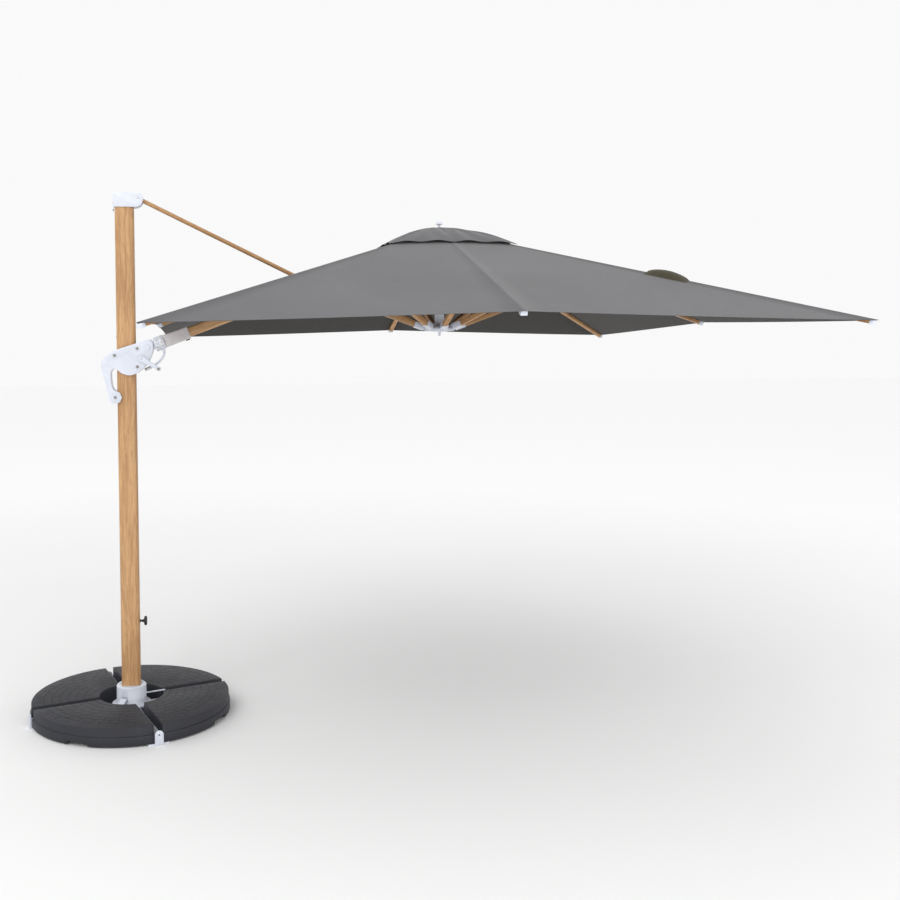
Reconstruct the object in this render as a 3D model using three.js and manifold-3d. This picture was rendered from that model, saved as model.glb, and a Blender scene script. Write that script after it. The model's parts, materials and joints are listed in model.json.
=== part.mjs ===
// Cantilever parasol: cross base with ballast plates, swivelling mast, sliding carriage,
// boom with tie rod, and a square eight-arm canopy. Millimetres, +Z up. The origin is on the
// floor under the mast's axis, and the boom points along +X.
import * as THREE from "three";
import { mergeVertices } from "three/addons/utils/BufferGeometryUtils.js";
import Module from "manifold-3d";

const wasm = await Module();
wasm.setup();

// ---------- driving dimensions ----------
const GAP = 0.3; // clearance between two pieces that touch
const DEG = Math.PI / 180;

// Base
const BASE_TURN = 18.4 * DEG; // how far the cross is turned about the mast
const ARM_LENGTH = 514;
const FLANGE_WIDTH = 100;
const FLANGE_THICKNESS = 6;
const WEB_WIDTH = 36;
const WEB_HEIGHT = 38;
const WEB_WALL = 3;
const TAB_WIDTH = 42;
const TAB_HEIGHT = 70;
const TAB_THICKNESS = 8;
const DRAIN_RADIUS = 8;
const PLATE_RADIUS = 510;
const PLATE_INNER_RADIUS = 165;
const PLATE_THICKNESS = 90;
const PLATE_STEP = 6; // how far the upper half of the rim stands back
const PLATE_GAP = 2.5; // from the web to a plate, on each side
const NOTCH_WIDTH = 110;
const NOTCH_HEIGHT = 15;

// Socket and swivel
const SOCKET_RADIUS = 76.5;
const SOCKET_FLANGE_RADIUS = 100;
const SOCKET_HEIGHT = 106;
const SOCKET_FLOOR = 16;
const FOOT_RADIUS = 59.7;
const PEDAL_AZIMUTH = -115 * DEG;
const PEDAL_WIDTH = 34;
const PEDAL_REACH = 122;
const LOCK_ROD_RADIUS = 4;
const LOCK_ROD_REACH = 179;

// Mast
const MAST_DEPTH = 97; // along the boom
const MAST_WIDTH = 65;
const MAST_CORNER = 20;
const MAST_WALL = 2.5;
const MAST_TOP = 2620;
const CAP_HEIGHT = 74;
const CAP_WIDTH = 76;
const KNOB_HEIGHT = 478;
const KNOB_RADIUS = 24.5;

// Tie rod
const TIE_PIVOT = new THREE.Vector2(73, 2666);
const TIE_RADIUS = 11;
const TIE_PIN_RADIUS = 5;
const TIE_RING_REACH = 861; // along the boom, from the boom's pivot
const TIE_RING_RISE = 63; // from the boom's axis to the tie's lower pivot
const TIE_RING_RADIUS = 36;
const TIE_RING_LENGTH = 28;
const RING_PIN_RADIUS = 4;
const RING_EYE_BORE = 13; // wide, so that the tie can swing while the boom tilts

// Carriage
const CHEEK_INNER = 36; // from the middle plane to a cheek
const CHEEK_THICKNESS = 12;
const ROLLER_OFFSET = 57; // from the mast's axis to a roller's axis
const ROLLER_HEIGHTS = { upper_left: 1862, upper_right: 1897, lower_right: 1803, handle: 1647 };
const AXLE_RADIUS = 4;
const BOLT_HEAD_RADIUS = 7;
const BOLT_HEAD_HEIGHT = 5;
const BOOM_PIVOT = new THREE.Vector2(110, 1902);
const BOOM_PIN_RADIUS = 7;
const CRANK_CENTRE = new THREE.Vector2(78, 1844);
const CRANK_SHAFT_RADIUS = 5;
const SPOOL_RADIUS = 24;
const DRUM_RADIUS = 16;
const CRANK_LENGTH = 103;
const CRANK_ANGLE = -30.5 * DEG;
const CRANK_KNOB_RADIUS = 11;
const CRANK_KNOB_LENGTH = 44;

// Boom
const BOOM_ANGLE = 20.5 * DEG;
const BOOM_HEIGHT = 50;
const BOOM_WIDTH = 40;
const BOOM_WALL = 3;
const BOOM_CORNER = 8;
const BOOM_START = 88;
const BOOM_END = 1545;
const COLLAR_RADIUS = 37.5;
const YOKE_COLLAR_START = 38;
const COLLAR_SPLIT = 62; // where the fixed collar ends and the turning one begins
const SPIGOT_RADIUS = 15;
const SPIGOT_END = 150;
const SLEEVE_LENGTH = 136;
const SLEEVE_HEIGHT = 66;
const SLEEVE_WIDTH = 52;
const CORD_RADIUS = 2.5;
const CORD_BORE = 5;

// Crown
const CROWN_X = 1650;
const HUB_PIVOT_RADIUS = 70;
const HUB_PIVOT_Z = 2488;
const HUB_RADIUS = 84;
const HUB_BELOW = 12;
const HUB_ABOVE = 14;
const HUB_BOSS_RADIUS = 30;
const HUB_BOSS_HEIGHT = 20;
const BLOCK_LENGTH = 55; // the hub's block on the boom's end
const WIRE_RADIUS = 2;
const TONGUE_WIDTH = 10;
const TONGUE_GAP = 0.7;
const RAIL_OFFSET = 46; // from the middle plane to a rail of the mast-side arm
const RAIL_WIDTH = 12;
const RAIL_PIVOT_RADIUS = 80;
const FINIAL_TOP = 2566;
const CENTRE_TUBE_RADIUS = 25;

// Ribs and stretchers
const HALF_SIDE = 1500;
const RIB_WIDTH = 26;
const RIB_HEIGHT = 16;
const RIB_END_SETBACK = 12;
const TIP_LENGTH = 23;
const TIP_DROP = 3; // how far a tip reaches under its rib
const RIM_MIDDLE_Z = 2020;
const RIM_CORNER_Z = 1980;
const RUNNER_PIVOT_Z = 1992;
const RUNNER_RADIUS = 80;
const RUNNER_BEVEL = 9; // clears the sockets as the arms fold
const STRETCHER_SIZE = 24;
const STRETCHER_SOCKET_WIDTH = 34;
const STRETCHER_SOCKET_LENGTH = 52;
const LUG_DROP = 18; // from a rib's axis to the stretcher's upper pivot
const LUG_THICKNESS = 6;
const LUG_PIN_RADIUS = 3;
const EYE_RADIUS = 8;

// Fabric
const FABRIC_THICKNESS = 2;
const FABRIC_GAP = 0.4;
const VENT_HALF_SIDE = 200;
const CAP_HALF_SIDE = 330;
const CAP_EDGE_Z = 2420;
const CAP_APEX_Z = 2545;
const CAP_CORNER_DROP = 10;
const SLOT_HALF_WIDTH = 36;
const SLOT_BEFORE = 110;
const SLOT_AFTER = 110;

// ---------- materials ----------
function finish(color, roughness, metalness = 0) {
  return new THREE.MeshStandardMaterial({ color, roughness, metalness });
}
const woodTone = finish(0xb98a5a, 0.55, 0.1);
const whitePlastic = finish(0xe1e4f0, 0.45);
const whitePaint = finish(0xd9dce6, 0.4, 0.2);
const sleevePlastic = finish(0xcdc8c8, 0.5);
const blackPlastic = finish(0x23242c, 0.7);
const steel = finish(0xa9a59c, 0.35, 0.9);
const greyFabric = finish(0x5f5d61, 0.95);
const cordFibre = finish(0x8d8d8d, 0.9);

// ---------- solids ----------
// A closed geometry as a solid that can be joined and cut.
function solid(geometry) {
  const bare = geometry.index ? geometry.toNonIndexed() : geometry.clone();
  bare.deleteAttribute("normal");
  bare.deleteAttribute("uv");
  const merged = mergeVertices(bare, 1e-4);
  const mesh = new wasm.Mesh({
    numProp: 3,
    vertProperties: merged.attributes.position.array,
    triVerts: new Uint32Array(merged.index.array),
  });
  return new wasm.Manifold(mesh);
}

function geometryOf(body) {
  const mesh = body.getMesh();
  const geometry = new THREE.BufferGeometry();
  geometry.setAttribute("position", new THREE.BufferAttribute(mesh.vertProperties, 3));
  geometry.setIndex(new THREE.BufferAttribute(mesh.triVerts, 1));
  const flat = geometry.toNonIndexed();
  flat.computeVertexNormals();
  return flat;
}

function join(first, ...others) {
  return others.reduce((sum, other) => sum.add(other), first);
}

function cut(first, ...others) {
  return others.reduce((rest, other) => rest.subtract(other), first);
}

// A box from its lowest to its highest corner.
function box(low, high) {
  const geometry = new THREE.BoxGeometry(high[0] - low[0], high[1] - low[1], high[2] - low[2]);
  geometry.translate((low[0] + high[0]) / 2, (low[1] + high[1]) / 2, (low[2] + high[2]) / 2);
  return solid(geometry);
}

// A round rod between two points.
function rod(start, end, radius, sides = 12) {
  const a = new THREE.Vector3(...start);
  const b = new THREE.Vector3(...end);
  const along = b.clone().sub(a);
  const geometry = new THREE.CylinderGeometry(radius, radius, along.length(), sides);
  geometry.applyQuaternion(
    new THREE.Quaternion().setFromUnitVectors(new THREE.Vector3(0, 1, 0), along.normalize()),
  );
  const middle = a.add(b).multiplyScalar(0.5);
  geometry.translate(middle.x, middle.y, middle.z);
  return solid(geometry);
}

// A rod across the middle plane, from one Y to another, at a point of the XZ plane.
function crossRod(x, z, low, high, radius, sides = 12) {
  return rod([x, low, z], [x, high, z], radius, sides);
}

// A turned solid about Z, from its profile of [radius, height] pairs that starts and ends
// on the axis or closes on itself.
function turned(profile, sides = 24) {
  const points = profile.map(([radius, height]) => new THREE.Vector2(radius, height));
  const geometry = new THREE.LatheGeometry(points, sides);
  geometry.rotateX(Math.PI / 2);
  return solid(geometry);
}

function ring(outer, inner, low, high, sides = 24) {
  return turned(
    [
      [inner, low],
      [outer, low],
      [outer, high],
      [inner, high],
      [inner, low],
    ],
    sides,
  );
}

// A flat outline of the XZ plane made thick along Y.
function slab(shape, low, high, curveSegments = 6) {
  const geometry = new THREE.ExtrudeGeometry(shape, {
    depth: high - low,
    bevelEnabled: false,
    curveSegments,
  });
  geometry.rotateX(Math.PI / 2);
  geometry.translate(0, high, 0);
  return solid(geometry);
}

// A flat outline of the XY plane made tall along Z.
function pillar(shape, low, high, curveSegments = 4) {
  const geometry = new THREE.ExtrudeGeometry(shape, {
    depth: high - low,
    bevelEnabled: false,
    curveSegments,
  });
  geometry.translate(0, 0, low);
  return solid(geometry);
}

function outline(points) {
  return new THREE.Shape(points.map(([x, y]) => new THREE.Vector2(x, y)));
}

function roundedRectangle(width, height, corner) {
  const x = width / 2;
  const y = height / 2;
  const shape = new THREE.Shape();
  shape.moveTo(-x + corner, -y);
  shape.lineTo(x - corner, -y);
  shape.absarc(x - corner, -y + corner, corner, -Math.PI / 2, 0);
  shape.lineTo(x, y - corner);
  shape.absarc(x - corner, y - corner, corner, 0, Math.PI / 2);
  shape.lineTo(-x + corner, y);
  shape.absarc(-x + corner, y - corner, corner, Math.PI / 2, Math.PI);
  shape.lineTo(-x, -y + corner);
  shape.absarc(-x + corner, -y + corner, corner, Math.PI, 1.5 * Math.PI);
  return shape;
}

// Moves a solid whose +X runs along a slanted line, from the origin to the line's start.
function slanted(body, start, angle) {
  const geometry = geometryOf(body);
  geometry.rotateY(-angle);
  geometry.translate(start.x, 0, start.y);
  return solid(geometry);
}

const parasol = new THREE.Group();

function add(parent, name, body, material) {
  const mesh = new THREE.Mesh(geometryOf(body), material);
  mesh.name = name;
  parent.add(mesh);
  return mesh;
}

// ---------- base ----------
const webTop = FLANGE_THICKNESS + WEB_HEIGHT;
const plateBottom = FLANGE_THICKNESS + GAP;
const plateTop = plateBottom + PLATE_THICKNESS;

// One straight beam through the middle, along X.
function crossBeam() {
  const reach = ARM_LENGTH;
  const flange = box([-reach, -FLANGE_WIDTH / 2, 0], [reach, FLANGE_WIDTH / 2, FLANGE_THICKNESS]);
  const web = box([-reach, -WEB_WIDTH / 2, 0], [reach, WEB_WIDTH / 2, webTop]);
  return join(flange, web);
}

function beamHollow() {
  const half = WEB_WIDTH / 2 - WEB_WALL;
  const reach = ARM_LENGTH + 1;
  return box([-reach, -half, FLANGE_THICKNESS], [reach, half, webTop - WEB_WALL]);
}

// The upright tab at the end of an arm, with its round top and its hole.
function endTab() {
  const half = TAB_WIDTH / 2;
  const shape = new THREE.Shape();
  shape.moveTo(-half, 0);
  shape.lineTo(half, 0);
  shape.lineTo(half, TAB_HEIGHT - half);
  shape.absarc(0, TAB_HEIGHT - half, half, 0, Math.PI);
  const hole = new THREE.Path();
  hole.absarc(0, TAB_HEIGHT - half, 5, 0, 2 * Math.PI);
  shape.holes.push(hole);
  const geometry = geometryOf(slab(shape, -TAB_THICKNESS / 2, TAB_THICKNESS / 2));
  geometry.rotateZ(Math.PI / 2);
  geometry.translate(ARM_LENGTH + TAB_THICKNESS / 2 - 1, 0, 0);
  return solid(geometry);
}

function quarterTurned(body, quarter) {
  const geometry = geometryOf(body);
  geometry.rotateZ((quarter * Math.PI) / 2);
  return solid(geometry);
}

function crossBase() {
  let body = join(crossBeam(), quarterTurned(crossBeam(), 1));
  body = cut(body, beamHollow(), quarterTurned(beamHollow(), 1));
  for (let quarter = 0; quarter < 4; quarter += 1) {
    body = body.add(quarterTurned(endTab(), quarter));
  }
  return body.subtract(rod([0, 0, webTop - WEB_WALL - 2], [0, 0, webTop + 1], DRAIN_RADIUS));
}

// A quarter plate between two arms, drawn for the quarter of positive X and Y.
function plateOutline(radius) {
  const side = WEB_WIDTH / 2 + PLATE_GAP;
  const outer = Math.asin(side / radius);
  const inner = Math.asin(side / PLATE_INNER_RADIUS);
  const shape = new THREE.Shape();
  shape.absarc(0, 0, radius, outer, Math.PI / 2 - outer);
  shape.absarc(0, 0, PLATE_INNER_RADIUS, Math.PI / 2 - inner, inner, true);
  return shape;
}

function ballastPlate() {
  const middle = plateBottom + PLATE_THICKNESS / 2;
  const lower = pillar(plateOutline(PLATE_RADIUS), plateBottom, middle, 9);
  const upper = pillar(plateOutline(PLATE_RADIUS - PLATE_STEP), plateBottom, plateTop, 9);
  const notch = geometryOf(
    box(
      [PLATE_RADIUS - 40, -NOTCH_WIDTH / 2, plateBottom - 1],
      [PLATE_RADIUS + 1, NOTCH_WIDTH / 2, plateBottom + NOTCH_HEIGHT],
    ),
  );
  notch.rotateZ(Math.PI / 4);
  return cut(join(lower, upper), solid(notch));
}

const base = new THREE.Group();
base.rotation.z = BASE_TURN;
parasol.add(base);
add(base, "cross_base", crossBase(), whitePaint);
for (let quarter = 0; quarter < 4; quarter += 1) {
  const plate = add(base, `ballast_plate_${quarter + 1}`, ballastPlate(), blackPlastic);
  plate.rotation.z = (quarter * Math.PI) / 2;
}

// ---------- socket and swivel ----------
const socketBottom = webTop + GAP;
const socketTop = socketBottom + SOCKET_HEIGHT;
const socketFloor = socketBottom + SOCKET_FLOOR;
const pedalPivotRadius = SOCKET_RADIUS + 1.5;
const pedalPivotZ = socketBottom + 46;
const pedalThickness = 7;
const pedalDrop = 24;

// The slot's box and the pedal lie along +X and are turned to the pedal's azimuth.
function turnedTo(body, azimuth) {
  const geometry = geometryOf(body);
  geometry.rotateZ(azimuth);
  return solid(geometry);
}

function swivelSocket() {
  const bore = FOOT_RADIUS + GAP;
  const cup = turned(
    [
      [0, socketBottom],
      [SOCKET_FLANGE_RADIUS, socketBottom],
      [SOCKET_FLANGE_RADIUS, socketBottom + 9],
      [SOCKET_RADIUS + 8, socketBottom + 14],
      [SOCKET_RADIUS, socketBottom + 30],
      [SOCKET_RADIUS, socketTop - 6],
      [SOCKET_RADIUS - 6, socketTop],
      [bore, socketTop],
      [bore, socketFloor],
      [0, socketFloor],
    ],
    32,
  );
  const slotHalf = PEDAL_WIDTH / 2 + 0.6;
  const slot = box(
    [bore - 2, -slotHalf, pedalPivotZ - 9],
    [SOCKET_RADIUS + 20, slotHalf, pedalPivotZ + 9],
  );
  const rodHole = rod(
    [bore - 2, 0, pedalPivotZ],
    [SOCKET_RADIUS + 5, 0, pedalPivotZ],
    LOCK_ROD_RADIUS + GAP,
  );
  return cut(cup, turnedTo(slot, PEDAL_AZIMUTH), turnedTo(rodHole, BASE_TURN));
}

function swivelPedal() {
  const inner = FOOT_RADIUS + GAP + 2.5;
  const half = pedalThickness / 2;
  const shape = outline([
    [inner, pedalPivotZ - half],
    [pedalPivotRadius + 4, pedalPivotZ - half],
    [PEDAL_REACH, pedalPivotZ - half - pedalDrop],
    [PEDAL_REACH, pedalPivotZ + half - pedalDrop],
    [pedalPivotRadius + 4, pedalPivotZ + half],
    [inner, pedalPivotZ + half],
  ]);
  return turnedTo(slab(shape, -PEDAL_WIDTH / 2, PEDAL_WIDTH / 2), PEDAL_AZIMUTH);
}

add(parasol, "swivel_socket", swivelSocket(), whitePlastic);
add(parasol, "swivel_pedal", swivelPedal(), whitePlastic);
const lockRod = rod(
  [FOOT_RADIUS + GAP + 0.6, 0, pedalPivotZ],
  [LOCK_ROD_REACH, 0, pedalPivotZ],
  LOCK_ROD_RADIUS,
);
add(parasol, "swivel_lock_rod", turnedTo(lockRod, BASE_TURN), whitePaint);

// ---------- mast ----------
const mastBottom = socketFloor + 6;
const mastFace = MAST_DEPTH / 2;

function mastSection(grow) {
  return roundedRectangle(MAST_DEPTH + 2 * grow, MAST_WIDTH + 2 * grow, MAST_CORNER + grow);
}

function mastTube() {
  const outer = pillar(mastSection(0), mastBottom, MAST_TOP);
  const inner = pillar(mastSection(-MAST_WALL), mastBottom - 1, MAST_TOP + 1);
  const knobHole = rod([mastFace - 10, 0, KNOB_HEIGHT], [mastFace + 5, 0, KNOB_HEIGHT], 4.5);
  return cut(outer, inner, knobHole);
}

function mastFoot() {
  const plug = turned(
    [
      [0, socketFloor + GAP],
      [FOOT_RADIUS, socketFloor + GAP],
      [FOOT_RADIUS, socketTop - 2],
      [0, socketTop - 2],
    ],
    32,
  );
  return cut(plug, pillar(mastSection(GAP), mastBottom - GAP, socketTop + 1));
}

// The cap's side outline: a straight back and a round nose about the tie rod's pivot.
function capOutline() {
  const back = -54;
  const nose = 98 - TIE_PIVOT.x;
  const bottom = MAST_TOP + GAP;
  const shape = new THREE.Shape();
  shape.moveTo(back, bottom);
  shape.lineTo(TIE_PIVOT.x - 13, bottom);
  shape.quadraticCurveTo(TIE_PIVOT.x + nose - 4, bottom + 6, TIE_PIVOT.x + nose, TIE_PIVOT.y);
  shape.absarc(TIE_PIVOT.x, TIE_PIVOT.y, nose, 0, Math.PI / 2);
  shape.lineTo(back + 6, MAST_TOP + CAP_HEIGHT);
  shape.quadraticCurveTo(back, MAST_TOP + CAP_HEIGHT, back, MAST_TOP + CAP_HEIGHT - 6);
  return shape;
}

const tieEyeWidth = 24;

function mastCap() {
  const shell = slab(capOutline(), -CAP_WIDTH / 2, CAP_WIDTH / 2, 8);
  const plug = pillar(mastSection(-MAST_WALL - GAP), MAST_TOP - 30, MAST_TOP + 2);
  const slotHalf = tieEyeWidth / 2 + 0.6;
  const slot = box(
    [TIE_PIVOT.x - 27, -slotHalf, MAST_TOP + 6],
    [TIE_PIVOT.x + 60, slotHalf, MAST_TOP + CAP_HEIGHT + 10],
  );
  const lowSlot = box(
    [TIE_PIVOT.x - 10, -slotHalf, MAST_TOP - 40],
    [TIE_PIVOT.x + 60, slotHalf, MAST_TOP + 10],
  );
  const bore = crossRod(TIE_PIVOT.x, TIE_PIVOT.y, -50, 50, TIE_PIN_RADIUS + GAP);
  return cut(join(shell, plug), slot, lowSlot, bore);
}

function clampKnob() {
  const start = mastFace - 8;
  const face = mastFace + GAP;
  const profile = [
    [0, start],
    [4, start],
    [4, face],
    [8, face],
    [8, face + 2],
    [5, face + 8],
    [9, face + 20],
    [KNOB_RADIUS - 3, face + 22],
    [KNOB_RADIUS, face + 26],
    [KNOB_RADIUS, face + 32],
    [KNOB_RADIUS - 4, face + 36],
    [0, face + 36],
  ];
  const geometry = geometryOf(turned(profile, 24));
  geometry.rotateY(Math.PI / 2);
  geometry.translate(0, 0, KNOB_HEIGHT);
  return solid(geometry);
}

add(parasol, "mast_tube", mastTube(), woodTone);
add(parasol, "mast_foot", mastFoot(), whitePlastic);
add(parasol, "mast_cap", mastCap(), whitePlastic);
add(parasol, "clamp_knob", clampKnob(), blackPlastic);
const tiePin = crossRod(TIE_PIVOT.x, TIE_PIVOT.y, -CAP_WIDTH / 2 - 2, CAP_WIDTH / 2 + 2, TIE_PIN_RADIUS);
add(parasol, "tie_pin", tiePin, steel);

// ---------- places along the boom ----------
const boomAlong = new THREE.Vector2(Math.cos(BOOM_ANGLE), Math.sin(BOOM_ANGLE));
const boomUp = new THREE.Vector2(-boomAlong.y, boomAlong.x);

// The point of the XZ plane at a distance along the boom and a height over its axis.
function onBoom(along, up = 0) {
  return BOOM_PIVOT.clone().addScaledVector(boomAlong, along).addScaledVector(boomUp, up);
}

function alongBoom(body) {
  return slanted(body, BOOM_PIVOT, BOOM_ANGLE);
}

// ---------- tie rod ----------
const ringPivot = onBoom(TIE_RING_REACH, TIE_RING_RISE);
const tieVector = ringPivot.clone().sub(TIE_PIVOT);
const tieLength = tieVector.length();
const tieAngle = Math.atan2(tieVector.y, tieVector.x);
const ringEyeRadius = RING_EYE_BORE + 4;
const ringEyeWidth = 14;

function tieRod() {
  const upperEye = crossRod(0, 0, -tieEyeWidth / 2, tieEyeWidth / 2, 13, 24);
  const shaft = rod([8, 0, 0], [tieLength - 26, 0, 0], TIE_RADIUS, 16);
  const neck = box(
    [tieLength - 32, -ringEyeWidth / 2, -8],
    [tieLength - RING_EYE_BORE - 1, ringEyeWidth / 2, 8],
  );
  const lowerEye = crossRod(tieLength, 0, -ringEyeWidth / 2, ringEyeWidth / 2, ringEyeRadius, 24);
  const body = join(upperEye, shaft, neck, lowerEye);
  const upperBore = crossRod(0, 0, -20, 20, TIE_PIN_RADIUS + GAP);
  const lowerBore = crossRod(tieLength, 0, -20, 20, RING_EYE_BORE, 20);
  return slanted(cut(body, upperBore, lowerBore), TIE_PIVOT, tieAngle);
}

add(parasol, "tie_rod", tieRod(), woodTone);

// ---------- carriage ----------
const cheekOuter = CHEEK_INNER + CHEEK_THICKNESS;

function points2(list) {
  return list.map(([x, z]) => new THREE.Vector2(x, z));
}

// A cheek's outline: a leaf-shaped body with a handle arm that ends in a round eye.
function cheekOutline() {
  const eye = new THREE.Vector2(-ROLLER_OFFSET, ROLLER_HEIGHTS.handle);
  const eyeRadius = 34;
  const shape = new THREE.Shape();
  shape.moveTo(124, 1945);
  shape.splineThru(
    points2([
      [47, 1922],
      [-45, 1892],
      [-87, 1871],
      [-116, 1846],
      [-127, 1812],
      [-118, 1771],
      [eye.x - eyeRadius, eye.y + 4],
    ]),
  );
  shape.absarc(eye.x, eye.y, eyeRadius, Math.PI - 0.1, 2.5 * Math.PI);
  shape.splineThru(
    points2([
      [-72, 1700],
      [-79, 1771],
      [-61, 1795],
      [-43, 1787],
      [-20, 1769],
      [17, 1760],
      [55, 1771],
      [100, 1810],
      [127, 1858],
      [137, 1890],
      [136, 1925],
    ]),
  );
  return shape;
}

const rollerPlaces = {
  upper_left: new THREE.Vector2(-ROLLER_OFFSET, ROLLER_HEIGHTS.upper_left),
  upper_right: new THREE.Vector2(ROLLER_OFFSET, ROLLER_HEIGHTS.upper_right),
  lower_right: new THREE.Vector2(ROLLER_OFFSET, ROLLER_HEIGHTS.lower_right),
  handle: new THREE.Vector2(-ROLLER_OFFSET, ROLLER_HEIGHTS.handle),
};

function carriageCheek(side) {
  const low = side > 0 ? CHEEK_INNER : -cheekOuter;
  let body = slab(cheekOutline(), low, low + CHEEK_THICKNESS, 3);
  for (const place of Object.values(rollerPlaces)) {
    body = body.subtract(crossRod(place.x, place.y, -60, 60, AXLE_RADIUS + GAP, 12));
  }
  const pinHole = crossRod(BOOM_PIVOT.x, BOOM_PIVOT.y, -60, 60, BOOM_PIN_RADIUS + GAP);
  const shaftHole = crossRod(CRANK_CENTRE.x, CRANK_CENTRE.y, -60, 60, CRANK_SHAFT_RADIUS + GAP);
  return cut(body, pinHole, shaftHole);
}

function rollerAxle(place) {
  const headStart = cheekOuter + GAP;
  const headEnd = headStart + BOLT_HEAD_HEIGHT;
  const shank = crossRod(place.x, place.y, -headEnd, headEnd, AXLE_RADIUS, 12);
  const front = crossRod(place.x, place.y, -headEnd, -headStart, BOLT_HEAD_RADIUS, 6);
  const rear = crossRod(place.x, place.y, headStart, headEnd, BOLT_HEAD_RADIUS, 6);
  return join(shank, front, rear);
}

function guideRoller(place) {
  const reach = CHEEK_INNER - 0.7;
  const radius = ROLLER_OFFSET - mastFace - GAP;
  const body = crossRod(place.x, place.y, -reach, reach, radius, 24);
  return body.subtract(crossRod(place.x, place.y, -reach - 1, reach + 1, AXLE_RADIUS + GAP, 12));
}

add(parasol, "cheek_front", carriageCheek(-1), whitePlastic);
add(parasol, "cheek_rear", carriageCheek(1), whitePlastic);
for (const [name, place] of Object.entries(rollerPlaces)) {
  add(parasol, `roller_${name}`, guideRoller(place), blackPlastic);
  add(parasol, `axle_${name}`, rollerAxle(place), steel);
}

function boomPin() {
  const headStart = cheekOuter + GAP;
  const headEnd = headStart + 3;
  const shank = crossRod(BOOM_PIVOT.x, BOOM_PIVOT.y, -headEnd, headEnd, BOOM_PIN_RADIUS);
  const front = crossRod(BOOM_PIVOT.x, BOOM_PIVOT.y, -headEnd, -headStart, 11, 20);
  const rear = crossRod(BOOM_PIVOT.x, BOOM_PIVOT.y, headStart, headEnd, 11, 20);
  return join(shank, front, rear);
}

add(parasol, "boom_pivot_pin", boomPin(), whitePlastic);

// ---------- crank ----------
const armInner = cheekOuter + 8;
const armOuter = armInner + 9;
const crankEnd = new THREE.Vector2(
  CRANK_CENTRE.x + CRANK_LENGTH * Math.cos(CRANK_ANGLE),
  CRANK_CENTRE.y + CRANK_LENGTH * Math.sin(CRANK_ANGLE),
);

function crankShaft() {
  const { x, y } = CRANK_CENTRE;
  const shaft = crossRod(x, y, -armOuter, cheekOuter + 4, CRANK_SHAFT_RADIUS);
  const drum = crossRod(x, y, -20, 20, DRUM_RADIUS, 24);
  const frontFlange = crossRod(x, y, -23, -19, SPOOL_RADIUS, 24);
  const rearFlange = crossRod(x, y, 19, 23, SPOOL_RADIUS, 24);
  return join(shaft, drum, frontFlange, rearFlange);
}

function crankArm() {
  const shape = new THREE.Shape();
  shape.absarc(0, 0, 15, Math.PI / 2, 1.5 * Math.PI);
  shape.lineTo(CRANK_LENGTH, -8);
  shape.absarc(CRANK_LENGTH, 0, 8, -Math.PI / 2, Math.PI / 2);
  const arm = slab(shape, -armOuter, -armInner);
  const bore = crossRod(0, 0, -armOuter - 1, -armInner + 1, CRANK_SHAFT_RADIUS + GAP);
  const stud = crossRod(CRANK_LENGTH, 0, -armOuter - CRANK_KNOB_LENGTH, -armInner - 1, 4, 12);
  return slanted(join(cut(arm, bore), stud), CRANK_CENTRE, CRANK_ANGLE);
}

function crankKnob() {
  const start = -armOuter - CRANK_KNOB_LENGTH - 2;
  const end = -armOuter - GAP;
  const body = crossRod(crankEnd.x, crankEnd.y, start, end, CRANK_KNOB_RADIUS, 24);
  return body.subtract(crossRod(crankEnd.x, crankEnd.y, start + 1, end + 1, 4 + GAP, 12));
}

add(parasol, "crank_shaft", crankShaft(), steel);
add(parasol, "crank_arm", crankArm(), whitePlastic);
add(parasol, "crank_knob", crankKnob(), whitePlastic);

// ---------- boom yoke, collars and boom ----------
function alongRing(outer, inner, start, end, sides = 24) {
  const body = rod([start, 0, 0], [end, 0, 0], outer, sides);
  return body.subtract(rod([start - 1, 0, 0], [end + 1, 0, 0], inner, 20));
}

function boomYoke() {
  const earInner = 14;
  const earOuter = CHEEK_INNER - 6;
  const shape = new THREE.Shape();
  shape.absarc(0, 0, 16, Math.PI / 2, 1.5 * Math.PI);
  shape.lineTo(YOKE_COLLAR_START + 1, -22);
  shape.lineTo(YOKE_COLLAR_START + 1, 22);
  const rearEar = slab(shape, earInner, earOuter);
  const frontEar = slab(shape, -earOuter, -earInner);
  const collar = rod([YOKE_COLLAR_START, 0, 0], [COLLAR_SPLIT - GAP, 0, 0], COLLAR_RADIUS, 24);
  const spigot = rod([COLLAR_SPLIT - 2, 0, 0], [SPIGOT_END, 0, 0], SPIGOT_RADIUS, 24);
  const body = join(rearEar, frontEar, collar, spigot);
  const pinBore = crossRod(0, 0, -50, 50, BOOM_PIN_RADIUS + GAP);
  const cordBore = rod([YOKE_COLLAR_START - 5, 0, 0], [SPIGOT_END + 5, 0, 0], CORD_BORE, 12);
  return alongBoom(cut(body, pinBore, cordBore));
}

const leverHingeReach = (COLLAR_SPLIT + BOOM_START) / 2 - 5;
const leverHingeDrop = COLLAR_RADIUS + 7;
const leverPinRadius = 3;

// The collar that turns with the boom, with two ears below for the lock lever.
function tiltCollar() {
  const end = BOOM_START - GAP;
  const ringBody = alongRing(COLLAR_RADIUS, SPIGOT_RADIUS + GAP, COLLAR_SPLIT, end);
  const earShape = new THREE.Shape();
  earShape.moveTo(leverHingeReach + 7, -COLLAR_RADIUS + 6);
  earShape.lineTo(leverHingeReach - 7, -COLLAR_RADIUS + 6);
  earShape.lineTo(leverHingeReach - 7, -leverHingeDrop);
  earShape.absarc(leverHingeReach, -leverHingeDrop, 7, Math.PI, 2 * Math.PI);
  const rearEar = slab(earShape, 6.5, 11);
  const frontEar = slab(earShape, -11, -6.5);
  const pin = crossRod(leverHingeReach, -leverHingeDrop, -10, 10, leverPinRadius, 12);
  return alongBoom(join(ringBody, rearEar, frontEar, pin));
}

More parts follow.
